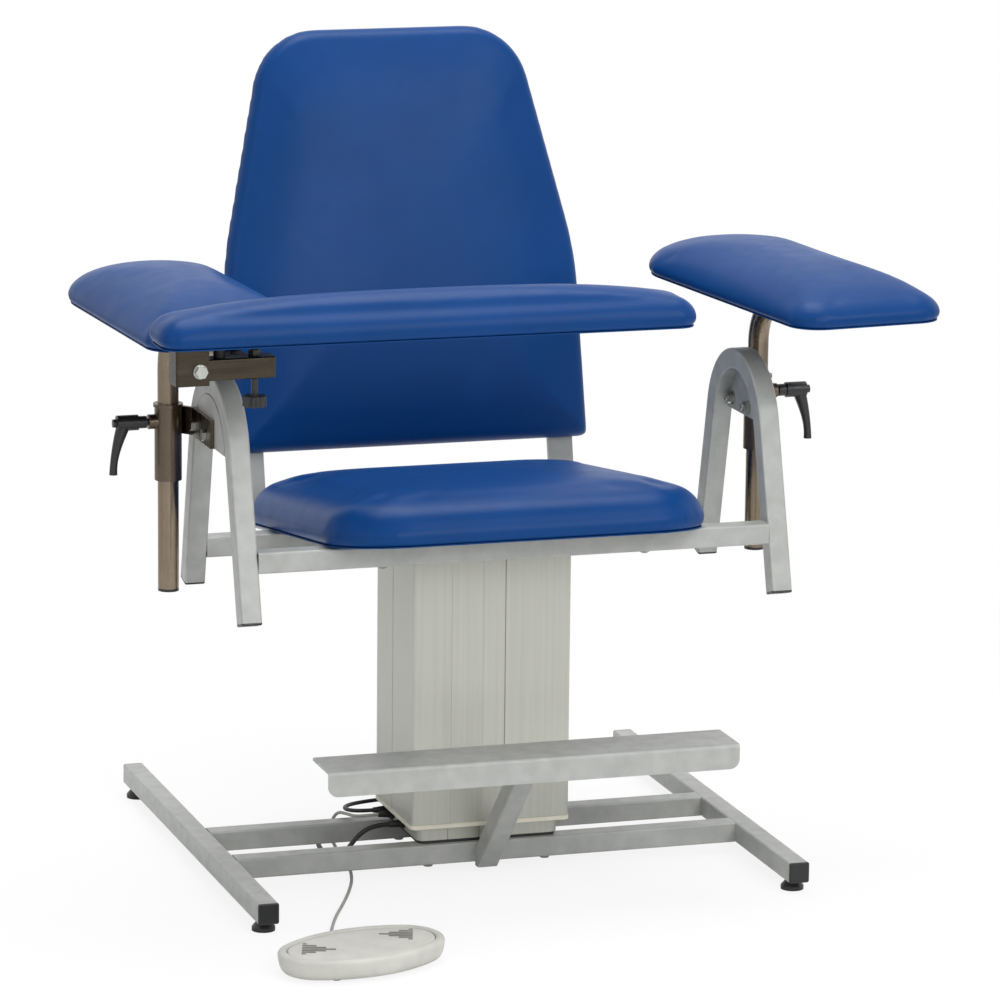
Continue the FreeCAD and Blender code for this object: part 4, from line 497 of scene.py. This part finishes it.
def dress_nodes():
    """Every CAD node that stays gets its own material."""
    grey = powder_coat("frame_coat")
    column = anodised("column_coat")
    cream = plastic("cream_plastic", 0.45)
    black = plastic("black_plastic", 0.36)
    rubber = plastic("black_rubber", 0.62, 700.0)
    dark = powder_coat("dark_steel", 0.45)
    # The plated tubes carry painted reflection bands along their length
    nickel = plated_steel("nickel_steel", 0.24, reflection_band_share=0.5)
    brown = plated_steel("brown_nickel", 0.28, reflection_band_share=0.5)
    dull = plated_steel("dull_nickel", 0.27, (0.05, 1, 1), 0.7)
    zinc = plated_steel("zinc_steel", 0.28)
    steel = plated_steel("screw_steel", 0.3)
    brass = plated_steel("nut_brass", 0.35)
    motor = powder_coat("motor_case", 0.5)
    shell = plastic("pedal_shell", 0.45)
    top = plastic("pedal_top", 0.5)
    sheath = plastic("black_sheath", 0.5, 500.0)
    wear = {
        grey: ("side_rail_left", "side_rail_right", "cross_rail_front", "cross_rail_rear", "footrest_strut",
               "footrest_plate", "seat_bearers", "cross_tube_front", "cross_tube_rear", "arch_left",
               "arch_right", "arch_gussets", "back_posts"),
        column: ("column_outer_profile", "column_inner_profile", "column_top_plate"),
        cream: ("column_rim",),
        black: ("rail_end_caps", "levelling_glides", "leg_plugs", "post_plug_left", "post_plug_right",
                "clamp_lever_left", "clamp_lever_right", "bar_tube_cap", "thumb_screw", "cable_glands",
                "mains_plug"),
        rubber: ("bar_rest_pads", "pedal_feet"),
        dark: ("column_foot_plate",),
        nickel: ("arm_post_left", "arm_post_right"),
        brown: ("sleeve_left", "sleeve_right", "sleeve_brackets"),
        dull: ("bar_tube", "bar_bracket"),
        zinc: ("column_bolts", "bracket_bolts", "bar_pivot_bolt"),
        steel: ("lead_screw",),
        brass: ("lift_nut",),
        motor: ("lift_motor",),
        shell: ("pedal_base",),
        top: ("pedal_rocker",),
    }
    for material, names in wear.items():
        for name in names:
            for place in nodes[name].material_slots:
                place.material = material
    tie = plastic("tie_fabric", 0.85, 900.0)
    return {"zinc": zinc, "sheath": sheath, "tie": tie}


# Cords

def nurbs_cord(name, points, diameter, material):
    """A round cord through points in millimetres."""
    curve = bpy.data.curves.new(name, "CURVE")
    curve.dimensions = "3D"
    curve.bevel_depth = diameter * MM / 2
    curve.bevel_resolution = CORD_SIDES
    curve.resolution_u = CORD_STEPS
    curve.use_fill_caps = True
    spline = curve.splines.new("NURBS")
    spline.points.add(len(points) - 1)
    for target, point in zip(spline.points, points):
        target.co = (point[0] * MM, point[1] * MM, point[2] * MM, 1.0)
    spline.order_u = CORD_ORDER
    spline.use_endpoint_u = True
    curve.materials.append(material)
    cord = bpy.data.objects.new(name, curve)
    bpy.context.scene.collection.objects.link(cord)
    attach(cord, "base")
    return cord


def coil_points():
    """The stored loops: they spiral in and out again in layers."""
    centre_x = MAINS_ROUTE[-1][0] + MAINS_CABLE
    centre_y = MAINS_ROUTE[-1][1] + COIL_OUTER
    layer_turns = COIL_TURNS / COIL_LAYERS
    reach = 1 / math.cos(math.pi / COIL_POINTS_PER_TURN)
    points = []
    for step in range(int(COIL_TURNS * COIL_POINTS_PER_TURN) + 1):
        turns = step / COIL_POINTS_PER_TURN
        layer = min(int(turns / layer_turns), COIL_LAYERS - 1)
        share = turns / layer_turns - layer
        inward = share if layer % 2 == 0 else 1 - share
        radius = (COIL_OUTER + (COIL_INNER - COIL_OUTER) * inward) * reach
        climb = 0.0
        for above in range(1, COIL_LAYERS):
            since = min(1.0, max(0.0, (turns - above * layer_turns) / COIL_CLIMB_TURNS + 0.5))
            climb += since * since * (3 - 2 * since)
        angle = turns * 2 * math.pi - math.pi / 2
        points.append((centre_x + radius * math.cos(angle), centre_y + radius * math.sin(angle),
                       MAINS_ROUTE[-1][2] + climb * (MAINS_CABLE + COIL_GAP)))
    return points


def coil_tie(material):
    """A strap round the stored loops."""
    centre = Vector((MAINS_ROUTE[-1][0] + MAINS_CABLE, MAINS_ROUTE[-1][1] + COIL_OUTER, 0)) * MM
    half = MAINS_CABLE / 2 + COIL_GAP
    near, far = (COIL_INNER - half) * MM, (COIL_OUTER / math.cos(math.pi / COIL_POINTS_PER_TURN) + half) * MM
    high = (MAINS_ROUTE[-1][2] + (COIL_LAYERS - 1) * (MAINS_CABLE + COIL_GAP) + half) * MM
    turn = Matrix.Rotation(math.radians(TIE_ANGLE), 3, "Z")

    def loop(out):
        corners = [(near - out, TIE_THICK - out), (far + out, TIE_THICK - out), (far + out, high + out),
                   (near - out, high + out)]
        return rounded(corners, [TIE_CORNER + out] * 4, per_corner=6, per_side=4)

    rings = []
    for a, b in zip(loop(0.0), loop(TIE_THICK)):
        rings.append([centre + turn @ Vector((p.x, side, p.y)) for p, side in
                      ((a, -TIE_HALF), (a, TIE_HALF), (b, TIE_HALF), (b, -TIE_HALF))])
    piece = ring_mesh("coil_tie", [rings], material, closed=True, smooth=False)
    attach(piece, "base")
    return piece


def make_cords(materials):
    grey = plastic("grey_sheath", 0.5, 500.0)
    pedal = nurbs_cord("pedal_lead", PEDAL_ROUTE, PEDAL_CABLE, grey)
    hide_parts("pedal_cable")
    link = nurbs_cord("link_lead", LINK_ROUTE, LINK_CABLE, materials["sheath"])
    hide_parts("link_cable")
    mains = nurbs_cord("mains_lead", list(MAINS_ROUTE) + coil_points()[1:] + list(TAIL_ROUTE), MAINS_CABLE,
                       materials["sheath"])
    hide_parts("mains_cable", "mains_coil")
    coil_tie(materials["tie"])


# Upholstery

def rounded(corners, radii, per_corner=12, per_side=14):
    """Points round an outline with rounded corners, as many for every inset of it."""
    count = len(corners)
    points = []
    for i in range(count):
        corner = Vector(corners[i])
        back = (Vector(corners[i - 1]) - corner).normalized()
        ahead = (Vector(corners[(i + 1) % count]) - corner).normalized()
        half = back.angle(ahead) / 2
        radius = max(radii[i], 1e-5)
        centre = corner + (back + ahead).normalized() * (radius / math.sin(half))
        start = corner + back * (radius / math.tan(half)) - centre
        sweep = math.pi - 2 * half
        side = 1 if back.cross(ahead) < 0 else -1
        for k in range(per_corner + 1):
            angle = side * sweep * k / per_corner
            c, s = math.cos(angle), math.sin(angle)
            points.append(centre + Vector((start.x * c - start.y * s, start.x * s + start.y * c)))
        following = Vector(corners[(i + 1) % count])
        next_back = (corner - following).normalized()
        next_ahead = (Vector(corners[(i + 2) % count]) - following).normalized()
        next_half = next_back.angle(next_ahead) / 2
        last = points[-1]
        target = following + next_back * (max(radii[(i + 1) % count], 1e-5) / math.tan(next_half))
        for k in range(1, per_side):
            points.append(last.lerp(target, k / per_side))
    return points


def side_steps(height, edge, slope):
    """Height and inset up a pad's side: a part of an ellipse that ends at the crown's slope."""
    low = height * SIDE_LOW_SHARE
    share = min(0.45, slope * edge / (height - low))
    last = math.acos(share / (1 - share))
    for step in range(1, SIDE_STEPS + 1):
        angle = last * step / SIDE_STEPS
        yield (low + (height - low) * math.sin(angle) / math.sin(last),
               edge * (1 - math.cos(angle)) / (1 - math.cos(last)))


def ring_mesh(name, solids, material=None, closed=False, smooth=True):
    """A piece of one or more solids, each given as rings of as many points."""
    mesh = bmesh.new()
    for rings in solids:
        loops = [[mesh.verts.new(point) for point in ring] for ring in rings]
        following = loops[1:] + loops[:1] if closed else loops[1:]
        for low, high in zip(loops, following):
            for i in range(len(low)):
                k = (i + 1) % len(low)
                mesh.faces.new((low[i], low[k], high[k], high[i]))
        if not closed:
            mesh.faces.new(loops[-1])
            mesh.faces.new(loops[0][::-1])
    bmesh.ops.recalc_face_normals(mesh, faces=mesh.faces)
    data = bpy.data.meshes.new(name)
    mesh.to_mesh(data)
    mesh.free()
    for face in data.polygons:
        face.use_smooth = smooth
    if material:
        data.materials.append(material)
    piece = bpy.data.objects.new(name, data)
    bpy.context.scene.collection.objects.link(piece)
    return piece


def pad_mesh(name, outline, height, crown, edge, power):
    """A closed crowned form from insets of one outline, bottom at z = 0."""
    rings = []
    top = outline(edge)
    middle = sum(top, Vector((0, 0))) / len(top)
    half = min(max(p.x for p in top) - middle.x, max(p.y for p in top) - middle.y)
    levels = [(rise * height, share * WRAP) for rise, share in LOWER_SHARES]
    for z, inset in levels + list(side_steps(height, edge, crown * power / half)):
        rings.append([(p.x, p.y, z) for p in outline(inset)])
    for size in CROWN_SIZES:
        z = height + crown * (1 - size ** power)
        rings.append([(*(middle + (p - middle) * size), z) for p in top])
    return ring_mesh(name, [rings])


def baked(piece):
    """Replaces a piece's mesh by what its modifiers make of it."""
    graph = bpy.context.evaluated_depsgraph_get()
    made = bpy.data.meshes.new_from_object(piece.evaluated_get(graph))
    piece.modifiers.clear()
    piece.data = made


def remeshed(piece):
    """An even mesh for the cloth, laid back onto the smooth form that it came from."""
    form = piece.copy()
    form.data = piece.data.copy()
    bpy.context.scene.collection.objects.link(form)
    change = piece.modifiers.new("remesh", "REMESH")
    change.mode = "VOXEL"
    change.voxel_size = VOXEL
    change.use_smooth_shade = True
    baked(piece)
    smooth = piece.modifiers.new("smooth", "SMOOTH")
    smooth.iterations = SMOOTH_BEFORE_WRAP
    wrap = piece.modifiers.new("wrap", "SHRINKWRAP")
    wrap.target = form
    last = piece.modifiers.new("last", "SMOOTH")
    last.iterations = SMOOTH_AFTER_WRAP
    baked(piece)
    bpy.data.objects.remove(form)


def points_of(mesh):
    values = np.empty(len(mesh.vertices) * 3)
    mesh.vertices.foreach_get("co", values)
    return values.reshape(-1, 3)


def add_cloth(piece, height):
    """Cloth under light pressure, held where the cover is stapled to the board."""
    held = piece.vertex_groups.new(name="held")
    places = points_of(piece.data)
    for index, place in enumerate(places):
        weight = 1.0 if place[2] < height * PINNED_SHARE else 0.0
        held.add([index], weight, "REPLACE")
    cloth = piece.modifiers.new("cloth", "CLOTH")
    cloth.settings.quality = CLOTH_QUALITY
    cloth.settings.use_pressure = True
    cloth.settings.uniform_pressure_force = CLOTH_PRESSURE
    cloth.settings.vertex_group_mass = "held"
    cloth.settings.effector_weights.gravity = 0.0
    cloth.collision_settings.use_collision = False
    return places


def swell(pads):
    """Runs the cloth of all pads together and keeps each point near where it was."""
    before = {piece: add_cloth(piece, height) for piece, height, cap in pads}
    caps = {piece: cap for piece, height, cap in pads}
    scene = bpy.context.scene
    for step in range(1, CLOTH_FRAMES + 1):
        scene.frame_set(step)
    for piece, start in before.items():
        baked(piece)
        after = points_of(piece.data)
        move = after - start
        size = np.linalg.norm(move, axis=1, keepdims=True)
        share = np.minimum(1.0, caps[piece] / np.maximum(size, 1e-9))
        piece.data.vertices.foreach_set("co", (start + move * share).ravel())
        piece.data.update()
        piece.vertex_groups.clear()
        settle = piece.modifiers.new("settle", "SMOOTH")
        settle.iterations = SMOOTH_AFTER_CLOTH
        baked(piece)
    scene.frame_set(1)


def arm_matrix(side):
    turn = SWIVEL_LEFT if side < 0 else SWIVEL_RIGHT
    return Matrix.Translation((side * POST_X, POST_Y, 0)) @ Matrix.Rotation(math.radians(turn), 4, "Z")


def arm_outline(front, rear):
    def outline(inset):
        half = PAD_WIDTH / 2 - inset
        near, far = inset - front, rear - inset
        radii = [PAD_FRONT_CORNER - inset] * 2 + [PAD_REAR_CORNER - inset] * 2
        return rounded([(-half, near), (half, near), (half, far), (-half, far)], radii)
    return outline


def bar_outline(inset):
    x, y = BAR_HALF_LENGTH - inset, BAR_HALF_DEPTH - inset
    return rounded([(-x, -y), (x, -y), (x, y), (-x, y)], [BAR_CORNER - inset] * 4, per_side=24)


def seat_outline(inset):
    half = SEAT_WIDTH / 2 - inset
    near, far = SEAT_FRONT + inset, SEAT_FRONT + SEAT_LENGTH - inset
    radii = [SEAT_CORNER - inset] * 2 + [SEAT_REAR_CORNER - inset] * 2
    return rounded([(-half, near), (half, near), (half, far), (-half, far)], radii)


def back_outline(inset):
    lean = (BACK_HALF_HIP - BACK_HALF_SHOULDER) / (BACK_SHOULDER - BACK_HIP)
    crown_half = BACK_HALF_SHOULDER - lean * (BACK_LENGTH - BACK_SHOULDER)
    right = [(BACK_HALF_BOTTOM, 0), (BACK_HALF_HIP, BACK_HIP), (crown_half, BACK_LENGTH)]
    corners = [(-x, y) for x, y in right[::-1]] + right
    half_width, half_length = BACK_HALF_HIP, BACK_LENGTH / 2
    kx, ky = (half_width - inset) / half_width, (half_length - inset) / half_length
    corners = [(x * kx, half_length + (y - half_length) * ky) for x, y in corners]
    radii = [BACK_TOP_CORNER - inset, BACK_SHOULDER, max(BACK_FOOT_CORNER - inset, 0.001)]
    return rounded(corners[::-1], (radii + radii[::-1])[::-1])


def lower_faces(piece):
    """The underside, drawn in below the wrapped edge, wears the dust cover."""
    for face in piece.data.polygons:
        face.material_index = 1 if face.center.z < DUST_COVER_HEIGHT else 0
        face.use_smooth = True


def hem(name, outline, material):
    """The cover's edge, folded over the board, with an unevenly cut inner side."""
    near, far = outline(HEM_NEAR), outline(HEM_FAR)
    cut = [b.lerp(a, HEM_UNEVEN * (1 + math.sin(i * HEM_WAVE))) for i, (a, b) in enumerate(zip(near, far))]
    rings = [[(p.x, p.y, z) for p in ring] for ring, z in
             ((near, HEM_THICK), (near, -HEM_THICK), (cut, -HEM_THICK), (cut, HEM_THICK))]
    return ring_mesh(name, [rings], material, closed=True, smooth=False)


def staples(name, outline, material):
    """Wire staples through the hem, all round at an even pitch."""
    path = outline(STAPLE_INSET)
    solids = []
    since = STAPLE_PITCH / 2
    for a, b in zip(path, path[1:] + path[:1]):
        way = b - a
        since += way.length
        if since < STAPLE_PITCH or way.length < 1e-6:
            continue
        since -= STAPLE_PITCH
        turned = Matrix.Rotation(STAPLE_SKEW * math.sin(len(solids) * STAPLE_SKEW_STEP), 2)
        along = turned @ way.normalized()
        across = Vector((-along.y, along.x))
        rings = []
        for reach, z, lean in STAPLE_WIRE:
            centre = a + along * (STAPLE_HALF * reach)
            ring = []
            for k in range(6):
                u = STAPLE_RADIUS * math.cos(k * math.pi / 3)
                v = STAPLE_RADIUS * math.sin(k * math.pi / 3)
                flat = centre + across * u + along * (v * lean)
                ring.append((flat.x, flat.y, z - v * math.sqrt(1 - min(1.0, lean * lean))))
            rings.append(ring)
        solids.append(rings)
    return ring_mesh(name, solids, material)


def screws(name, places, material):
    """Button heads with a hexagon recess, each on a matrix whose z points out of the work."""
    solids = []
    for place in places:
        rings = []
        for radius, z, hexagon in SCREW_RINGS:
            ring = []
            for k in range(12):
                size = radius * (1.0 if k % 2 == 0 or not hexagon else math.cos(math.pi / 6))
                angle = k * math.pi / 6
                ring.append(place @ Vector((SCREW_RADIUS * size * math.cos(angle),
                                            SCREW_RADIUS * size * math.sin(angle), SCREW_HEAD * z)))
            rings.append(ring)
        solids.append(rings)
    return ring_mesh(name, solids, material)


def make_screws(material, seat_matrix, back_matrix):
    """The screws that hold seat, back and arms, seen from below and behind."""
    down = Matrix.Rotation(math.pi, 4, "X")
    back = [back_matrix @ Matrix.Translation((x, y, -BACK_POST_THICK)) @ down
            for x in (-BACK_POST_X, BACK_POST_X) for y in BACK_SCREWS]
    seat = []
    for node in ("cross_tube_front", "cross_tube_rear"):
        low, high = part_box(node)
        seat += [Matrix.Translation((x, (low[1] + high[1]) / 2, low[2])) @ down
                 for x in (-SEAT_SCREW_X, SEAT_SCREW_X)]
    left, right = [[arm_matrix(side) @ Matrix.Translation((0, y, ARM_TUBE_UNDER)) @ down for y in places]
                   for side, places in ((-1, ARM_SCREWS_LEFT), (1, ARM_SCREWS_RIGHT))]
    plan = (("back_screws", back, "lift"), ("seat_screws", seat, "lift"),
            ("arm_screws_left", left, "arm_left"), ("arm_screws_right", right, "arm_right"))
    for name, places, body in plan:
        piece = screws(name, places, material)
        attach(piece, body)


def make_pads(shared):
    """Covers over the outlines of seat, back, arms and bar, with their hems and staples."""
    cover, under = vinyl(), dust_cover()
    seat_matrix = Matrix.Translation((0, SEAT_HINGE_Y, SEAT_HINGE_Z)) @ Matrix.Rotation(
        math.radians(-SEAT_TILT), 4, "X")
    back_matrix = Matrix.Translation((BACK_X, BACK_Y, BACK_Z)) @ Matrix.Rotation(
        math.radians(90 - BACK_RECLINE), 4, "X")
    lift_up = Matrix.Translation((0, 0, PAD_BOTTOM))
    bar_up = Matrix.Translation((*BAR_CENTRE, BAR_BOTTOM)) @ Matrix.Rotation(math.radians(BAR_TURN), 4, "Z")
    left = arm_outline(PAD_FRONT_LEFT, PAD_REAR_LEFT)
    right = arm_outline(PAD_FRONT_RIGHT, PAD_REAR_RIGHT)
    plan = (
        ("seat_pad", seat_outline, SEAT_HEIGHT, SEAT_CROWN, SEAT_EDGE, SEAT_POWER, SEAT_SWELL,
         seat_matrix, "lift", ("seat_cushion", "seat_board")),
        ("back_pad", back_outline, BACK_HEIGHT, BACK_CROWN, BACK_EDGE, BACK_POWER, BACK_SWELL,
         back_matrix, "lift", ("back_cushion", "back_board")),
        ("arm_pad_left", left, PAD_HEIGHT, PAD_CROWN, PAD_EDGE, PAD_POWER, PAD_SWELL,
         arm_matrix(-1) @ lift_up, "arm_left", ("arm_cushion_left", "arm_board_left")),
        ("arm_pad_right", right, PAD_HEIGHT, PAD_CROWN, PAD_EDGE, PAD_POWER, PAD_SWELL,
         arm_matrix(1) @ lift_up, "arm_right", ("arm_cushion_right", "arm_board_right")),
        ("bar_pad", bar_outline, BAR_HEIGHT, BAR_CROWN, BAR_EDGE, BAR_POWER, BAR_SWELL,
         arm_matrix(-1) @ bar_up, "bar", ("bar_cushion", "bar_board")),
    )
    made = []
    outlines = {row[0]: row[1] for row in plan}
    for name, outline, height, crown, edge, power, cap, place, body, replaced in plan:
        piece = pad_mesh(name, outline, height, crown, edge, power)
        remeshed(piece)
        made.append((piece, height, cap, place, body, replaced))
    swell([row[:3] for row in made])
    for piece, height, cap, place, body, replaced in made:
        fine = piece.modifiers.new("fine", "SUBSURF")
        fine.levels = 1
        baked(piece)
        piece.data.materials.clear()
        piece.data.materials.append(cover)
        piece.data.materials.append(under)
        lower_faces(piece)
        piece.data.transform(place)
        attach(piece, body)
        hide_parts(*replaced)
        outline = outlines[piece.name]
        for trim, slot in ((hem(piece.name + "_hem", outline, cover), "blue_vinyl"),
                           (staples(piece.name + "_staples", outline, shared["zinc"]), "zinc_steel")):
            trim.data.transform(place)
            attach(trim, body)
    make_screws(shared["zinc"], seat_matrix, back_matrix)


# The moving profile and the block above it

def column_plan():
    """Plan of the moving profile with its grooves, and of its inside, as many points each."""
    x, y, wide, inner = COLUMN_HALF_WIDTH, COLUMN_HALF_DEPTH, GROOVE_HALF, COLUMN_INNER_CORNER
    floor = GROOVE_FLOOR_SHARE
    outside, inside = [], []

    def corner(side_x, side_y, start):
        for k in range(COLUMN_CORNER_STEPS + 1):
            angle = math.radians(start + 90 * k / COLUMN_CORNER_STEPS)
            c, s = math.cos(angle), math.sin(angle)
            outside.append((side_x * (x - COLUMN_CORNER) + COLUMN_CORNER * c,
                            side_y * (y - COLUMN_CORNER) + COLUMN_CORNER * s))
            inside.append((side_x * (x - COLUMN_WALL - inner) + inner * c,
                           side_y * (y - COLUMN_WALL - inner) + inner * s))

    corner(-1, -1, 180)
    for groove, deep in COLUMN_GROOVES:
        for share, depth in ((-1.0, 0.0), (-floor, deep), (floor, deep), (1.0, 0.0)):
            outside.append((groove + wide * share, depth - y))
            inside.append((groove + wide * share, COLUMN_WALL - y))
    corner(1, -1, 270)
    corner(1, 1, 0)
    corner(-1, 1, 90)
    for share, depth in ((1.0, 0.0), (floor, GROOVE_DEPTH), (-floor, GROOVE_DEPTH), (-1.0, 0.0)):
        outside.append((depth - x, COLUMN_SIDE_GROOVE + wide * share))
        inside.append((COLUMN_WALL - x, COLUMN_SIDE_GROOVE + wide * share))
    return outside, inside


def make_column():
    """The moving profile and the block above it, with one deep and two faint grooves in front."""
    material = nodes["column_outer_profile"].material_slots[0].material
    outside, inside = column_plan()
    low, high = (corner[2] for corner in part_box("column_outer_profile"))
    sleeve = [[(*point, z) for point in ring] for ring, z in
              ((outside, low), (outside, high), (inside, high), (inside, low))]
    rear = COLUMN_HALF_DEPTH - COLUMN_CORNER
    nearer = COLUMN_HEAD_REAR / COLUMN_HALF_DEPTH
    front = [(x, y * nearer if y >= rear else y) for x, y in outside]
    head = [[(*point, z) for point in front] for z in (COLUMN_HEAD_LOW, COLUMN_HEAD_TOP)]
    for name, rings, closed, node in (("column_sleeve", sleeve, True, "column_outer_profile"),
                                      ("column_head", head, False, "column_top_plate")):
        piece = ring_mesh(name, [rings], material, closed=closed, smooth=False)
        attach(piece, "lift")
        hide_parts(node)


# The foot pedal

def pedal_oval(inset, z, per_arc=16):
    """Four tangent arcs, drawn in by the inset, at one height."""
    end, half = PEDAL_END_RADIUS, PEDAL_HALF_WIDTH
    reach = PEDAL_HALF_LENGTH - end
    rise = (reach ** 2 + half ** 2 - end ** 2) / (2 * (half - end))
    drop = rise - half
    limit = math.atan2(drop, reach)
    arcs = ((reach, 0, end, -limit, limit), (0, -drop, rise, limit, math.pi - limit),
            (-reach, 0, end, math.pi - limit, math.pi + limit),
            (0, drop, rise, math.pi + limit, 2 * math.pi - limit))
    points = []
    for x, y, radius, start, stop in arcs:
        for k in range(per_arc):
            angle = start + (stop - start) * k / per_arc
            size = radius - inset
            points.append((x + size * math.cos(angle), y + size * math.sin(angle), z))
    return points


def pedal_boot():
    """A ribbed, tapered boot where the cable enters."""
    end, before = Vector(PEDAL_ROUTE[-1]) * MM, Vector(PEDAL_ROUTE[-2]) * MM
    out = (before - end).normalized()
    inside = end - out * BOOT_LENGTH
    turn = out.to_track_quat("Z", "Y").to_matrix()
    rings = []
    angles = [k * 2 * math.pi / BOOT_SIDES for k in range(BOOT_SIDES)]
    steps = 4 * BOOT_RIBS
    for step in range(steps + 1):
        share = step / steps
        radius = BOOT_RADII[0] + (BOOT_RADII[1] - BOOT_RADII[0]) * share
        if step % 4 in (1, 2):
            radius -= BOOT_GROOVE
        centre = end + out * (BOOT_LENGTH * share)
        rings.append([centre + turn @ Vector((radius * math.cos(angle), radius * math.sin(angle), 0))
                      for angle in angles])
    first = [point + (inside - end) for point in rings[0]]
    return [first] + rings


def pedal_arrows():
    """Two ribbed arrows that point at each other."""
    turned = Matrix.Rotation(math.radians(ARROW_TURN - PEDAL_TURN), 4, "Z")
    middle = Matrix.Translation((-ARROW_REACH + ARROW_LENGTH / 3, 0, 0))
    shift = Matrix.Translation((0, ARROW_SHIFT, 0))
    edge = ARROW_RIB_END
    solids = []
    for sign in (-1, 1):
        for i in range(ARROW_RIBS):
            share = (i + 0.5) / ARROW_RIBS
            across = ARROW_BASE * (share - 0.5)
            reach = ARROW_LENGTH * max(ARROW_TIP_SHARE, 1 - abs(2 * share - 1))
            place = middle @ turned @ middle.inverted() @ Matrix.Translation((-ARROW_REACH, across, 0))
            if sign > 0:
                place = Matrix.Rotation(math.pi, 4, "Z") @ place
            place = shift @ place
            rings = []
            for x, size in ((0.0, ARROW_RIB_END_SIZE), (edge, 1.0), (reach - edge, 1.0),
                            (reach, ARROW_RIB_END_SIZE)):
                half, top = ARROW_RIB_HALF * size, ARROW_LOW + (ARROW_TOP - ARROW_LOW) * size
                upper = half * ARROW_RIB_TOP_SHARE
                rings.append([place @ Vector((x, y, z)) for y, z in
                              ((-half, ARROW_LOW), (half, ARROW_LOW), (upper, top), (-upper, top))])
            solids.append(rings)
    return solids


def make_pedal():
    """Housing, rocking top and arrows, with softer edges than the plain solids."""
    place = Matrix.Translation((*PEDAL_PLACE, 0)) @ Matrix.Rotation(math.radians(PEDAL_TURN), 4, "Z")
    shell = nodes["pedal_base"].material_slots[0].material
    top = nodes["pedal_rocker"].material_slots[0].material
    mark = plastic("arrow_grey", 0.55)
    case, plate = [[[pedal_oval(inset, z) for z, inset in rows]] for rows in (PEDAL_CASE, PEDAL_TOP)]
    plan = (("pedal_case", case, shell, "base", "pedal_shell"),
            ("pedal_plate", plate, top, "rocker", "pedal_top"),
            ("pedal_arrows", pedal_arrows(), mark, "rocker", "pedal_top"))
    for name, solids, material, body, slot in plan:
        piece = ring_mesh(name, solids, material, smooth=name != "pedal_arrows")
        piece.data.transform(place)
        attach(piece, body)
    boot = ring_mesh("pedal_boot", [pedal_boot()], shell)
    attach(boot, "base")
    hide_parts("pedal_base")
    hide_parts("pedal_rocker")


# Floor, lamps and background

def lamp(name, place, target, size, power):
    data = bpy.data.lights.new(name, "AREA")
    data.shape = "RECTANGLE"
    data.size, data.size_y = size
    data.energy = power
    light = bpy.data.objects.new(name, data)
    light.location = place
    light.rotation_euler = (Vector(target) - Vector(place)).to_track_quat("-Z", "Y").to_euler()
    bpy.context.scene.collection.objects.link(light)


def white_for_view(tree, seen, unseen):
    """Mixes two shaders: one for camera, mirror and glass rays, one for light itself."""
    path = tree.nodes.new("ShaderNodeLightPath")
    shown = path.outputs["Is Camera Ray"]
    for ray in ("Is Glossy Ray", "Is Transmission Ray"):
        either = tree.nodes.new("ShaderNodeMath")
        either.operation = "MAXIMUM"
        tree.links.new(shown, either.inputs[0])
        tree.links.new(path.outputs[ray], either.inputs[1])
        shown = either.outputs[0]
    mix = tree.nodes.new("ShaderNodeMixShader")
    tree.links.new(shown, mix.inputs["Fac"])
    tree.links.new(unseen, mix.inputs[1])
    tree.links.new(seen, mix.inputs[2])
    return mix.outputs[0]


def make_world():
    world = bpy.data.worlds.new("world")
    bpy.context.scene.world = world
    world.use_nodes = True
    tree = world.node_tree
    tree.nodes.clear()
    seen = tree.nodes.new("ShaderNodeBackground")
    seen.inputs["Color"].default_value = (1, 1, 1, 1)
    unseen = tree.nodes.new("ShaderNodeBackground")
    unseen.inputs["Color"].default_value = WORLD_TINT
    unseen.inputs["Strength"].default_value = WORLD_STRENGTH
    output = tree.nodes.new("ShaderNodeOutputWorld")
    tree.links.new(white_for_view(tree, seen.outputs[0], unseen.outputs[0]), output.inputs["Surface"])


def make_floor():
    """A white floor that keeps the chair's shadow and fades into the background."""
    bpy.ops.mesh.primitive_circle_add(vertices=FLOOR_CORNERS, radius=FLOOR_RADIUS, fill_type="NGON",
                                      location=(0, 0, -FLOOR_DROP))
    floor = bpy.context.object
    floor.name = "floor"
    s = Shader("floor_white")
    s.put("Base Color", FLOOR_WHITE)
    s.put("Roughness", FLOOR_ROUGHNESS)
    glow = s.add("ShaderNodeEmission")
    glow.inputs["Color"].default_value = (1, 1, 1, 1)
    far = s.add("ShaderNodeVectorMath", operation="LENGTH")
    s.link(s.place, far.inputs[0])
    (start, low), (end, high) = FLOOR_FADE_FROM, FLOOR_FADE_TO
    fade = s.span(far.outputs["Value"], low, high, start, end)
    path = s.add("ShaderNodeLightPath")
    both = s.add("ShaderNodeMath", operation="MULTIPLY")
    s.link(fade, both.inputs[0])
    s.link(path.outputs["Is Camera Ray"], both.inputs[1])
    mix = s.add("ShaderNodeMixShader")
    s.link(both.outputs[0], mix.inputs["Fac"])
    s.link(s.surface.outputs[0], mix.inputs[1])
    s.link(glow.outputs[0], mix.inputs[2])
    s.link(mix.outputs[0], s.tree.nodes["Material Output"].inputs["Surface"])
    floor.data.materials.append(s.material)


make_camera()
shared = dress_nodes()
make_cords(shared)
make_pads(shared)
make_column()
make_pedal()
make_world()
make_floor()
for row in LAMPS:
    lamp(*row)
bpy.context.scene.view_settings.view_transform = "Standard"
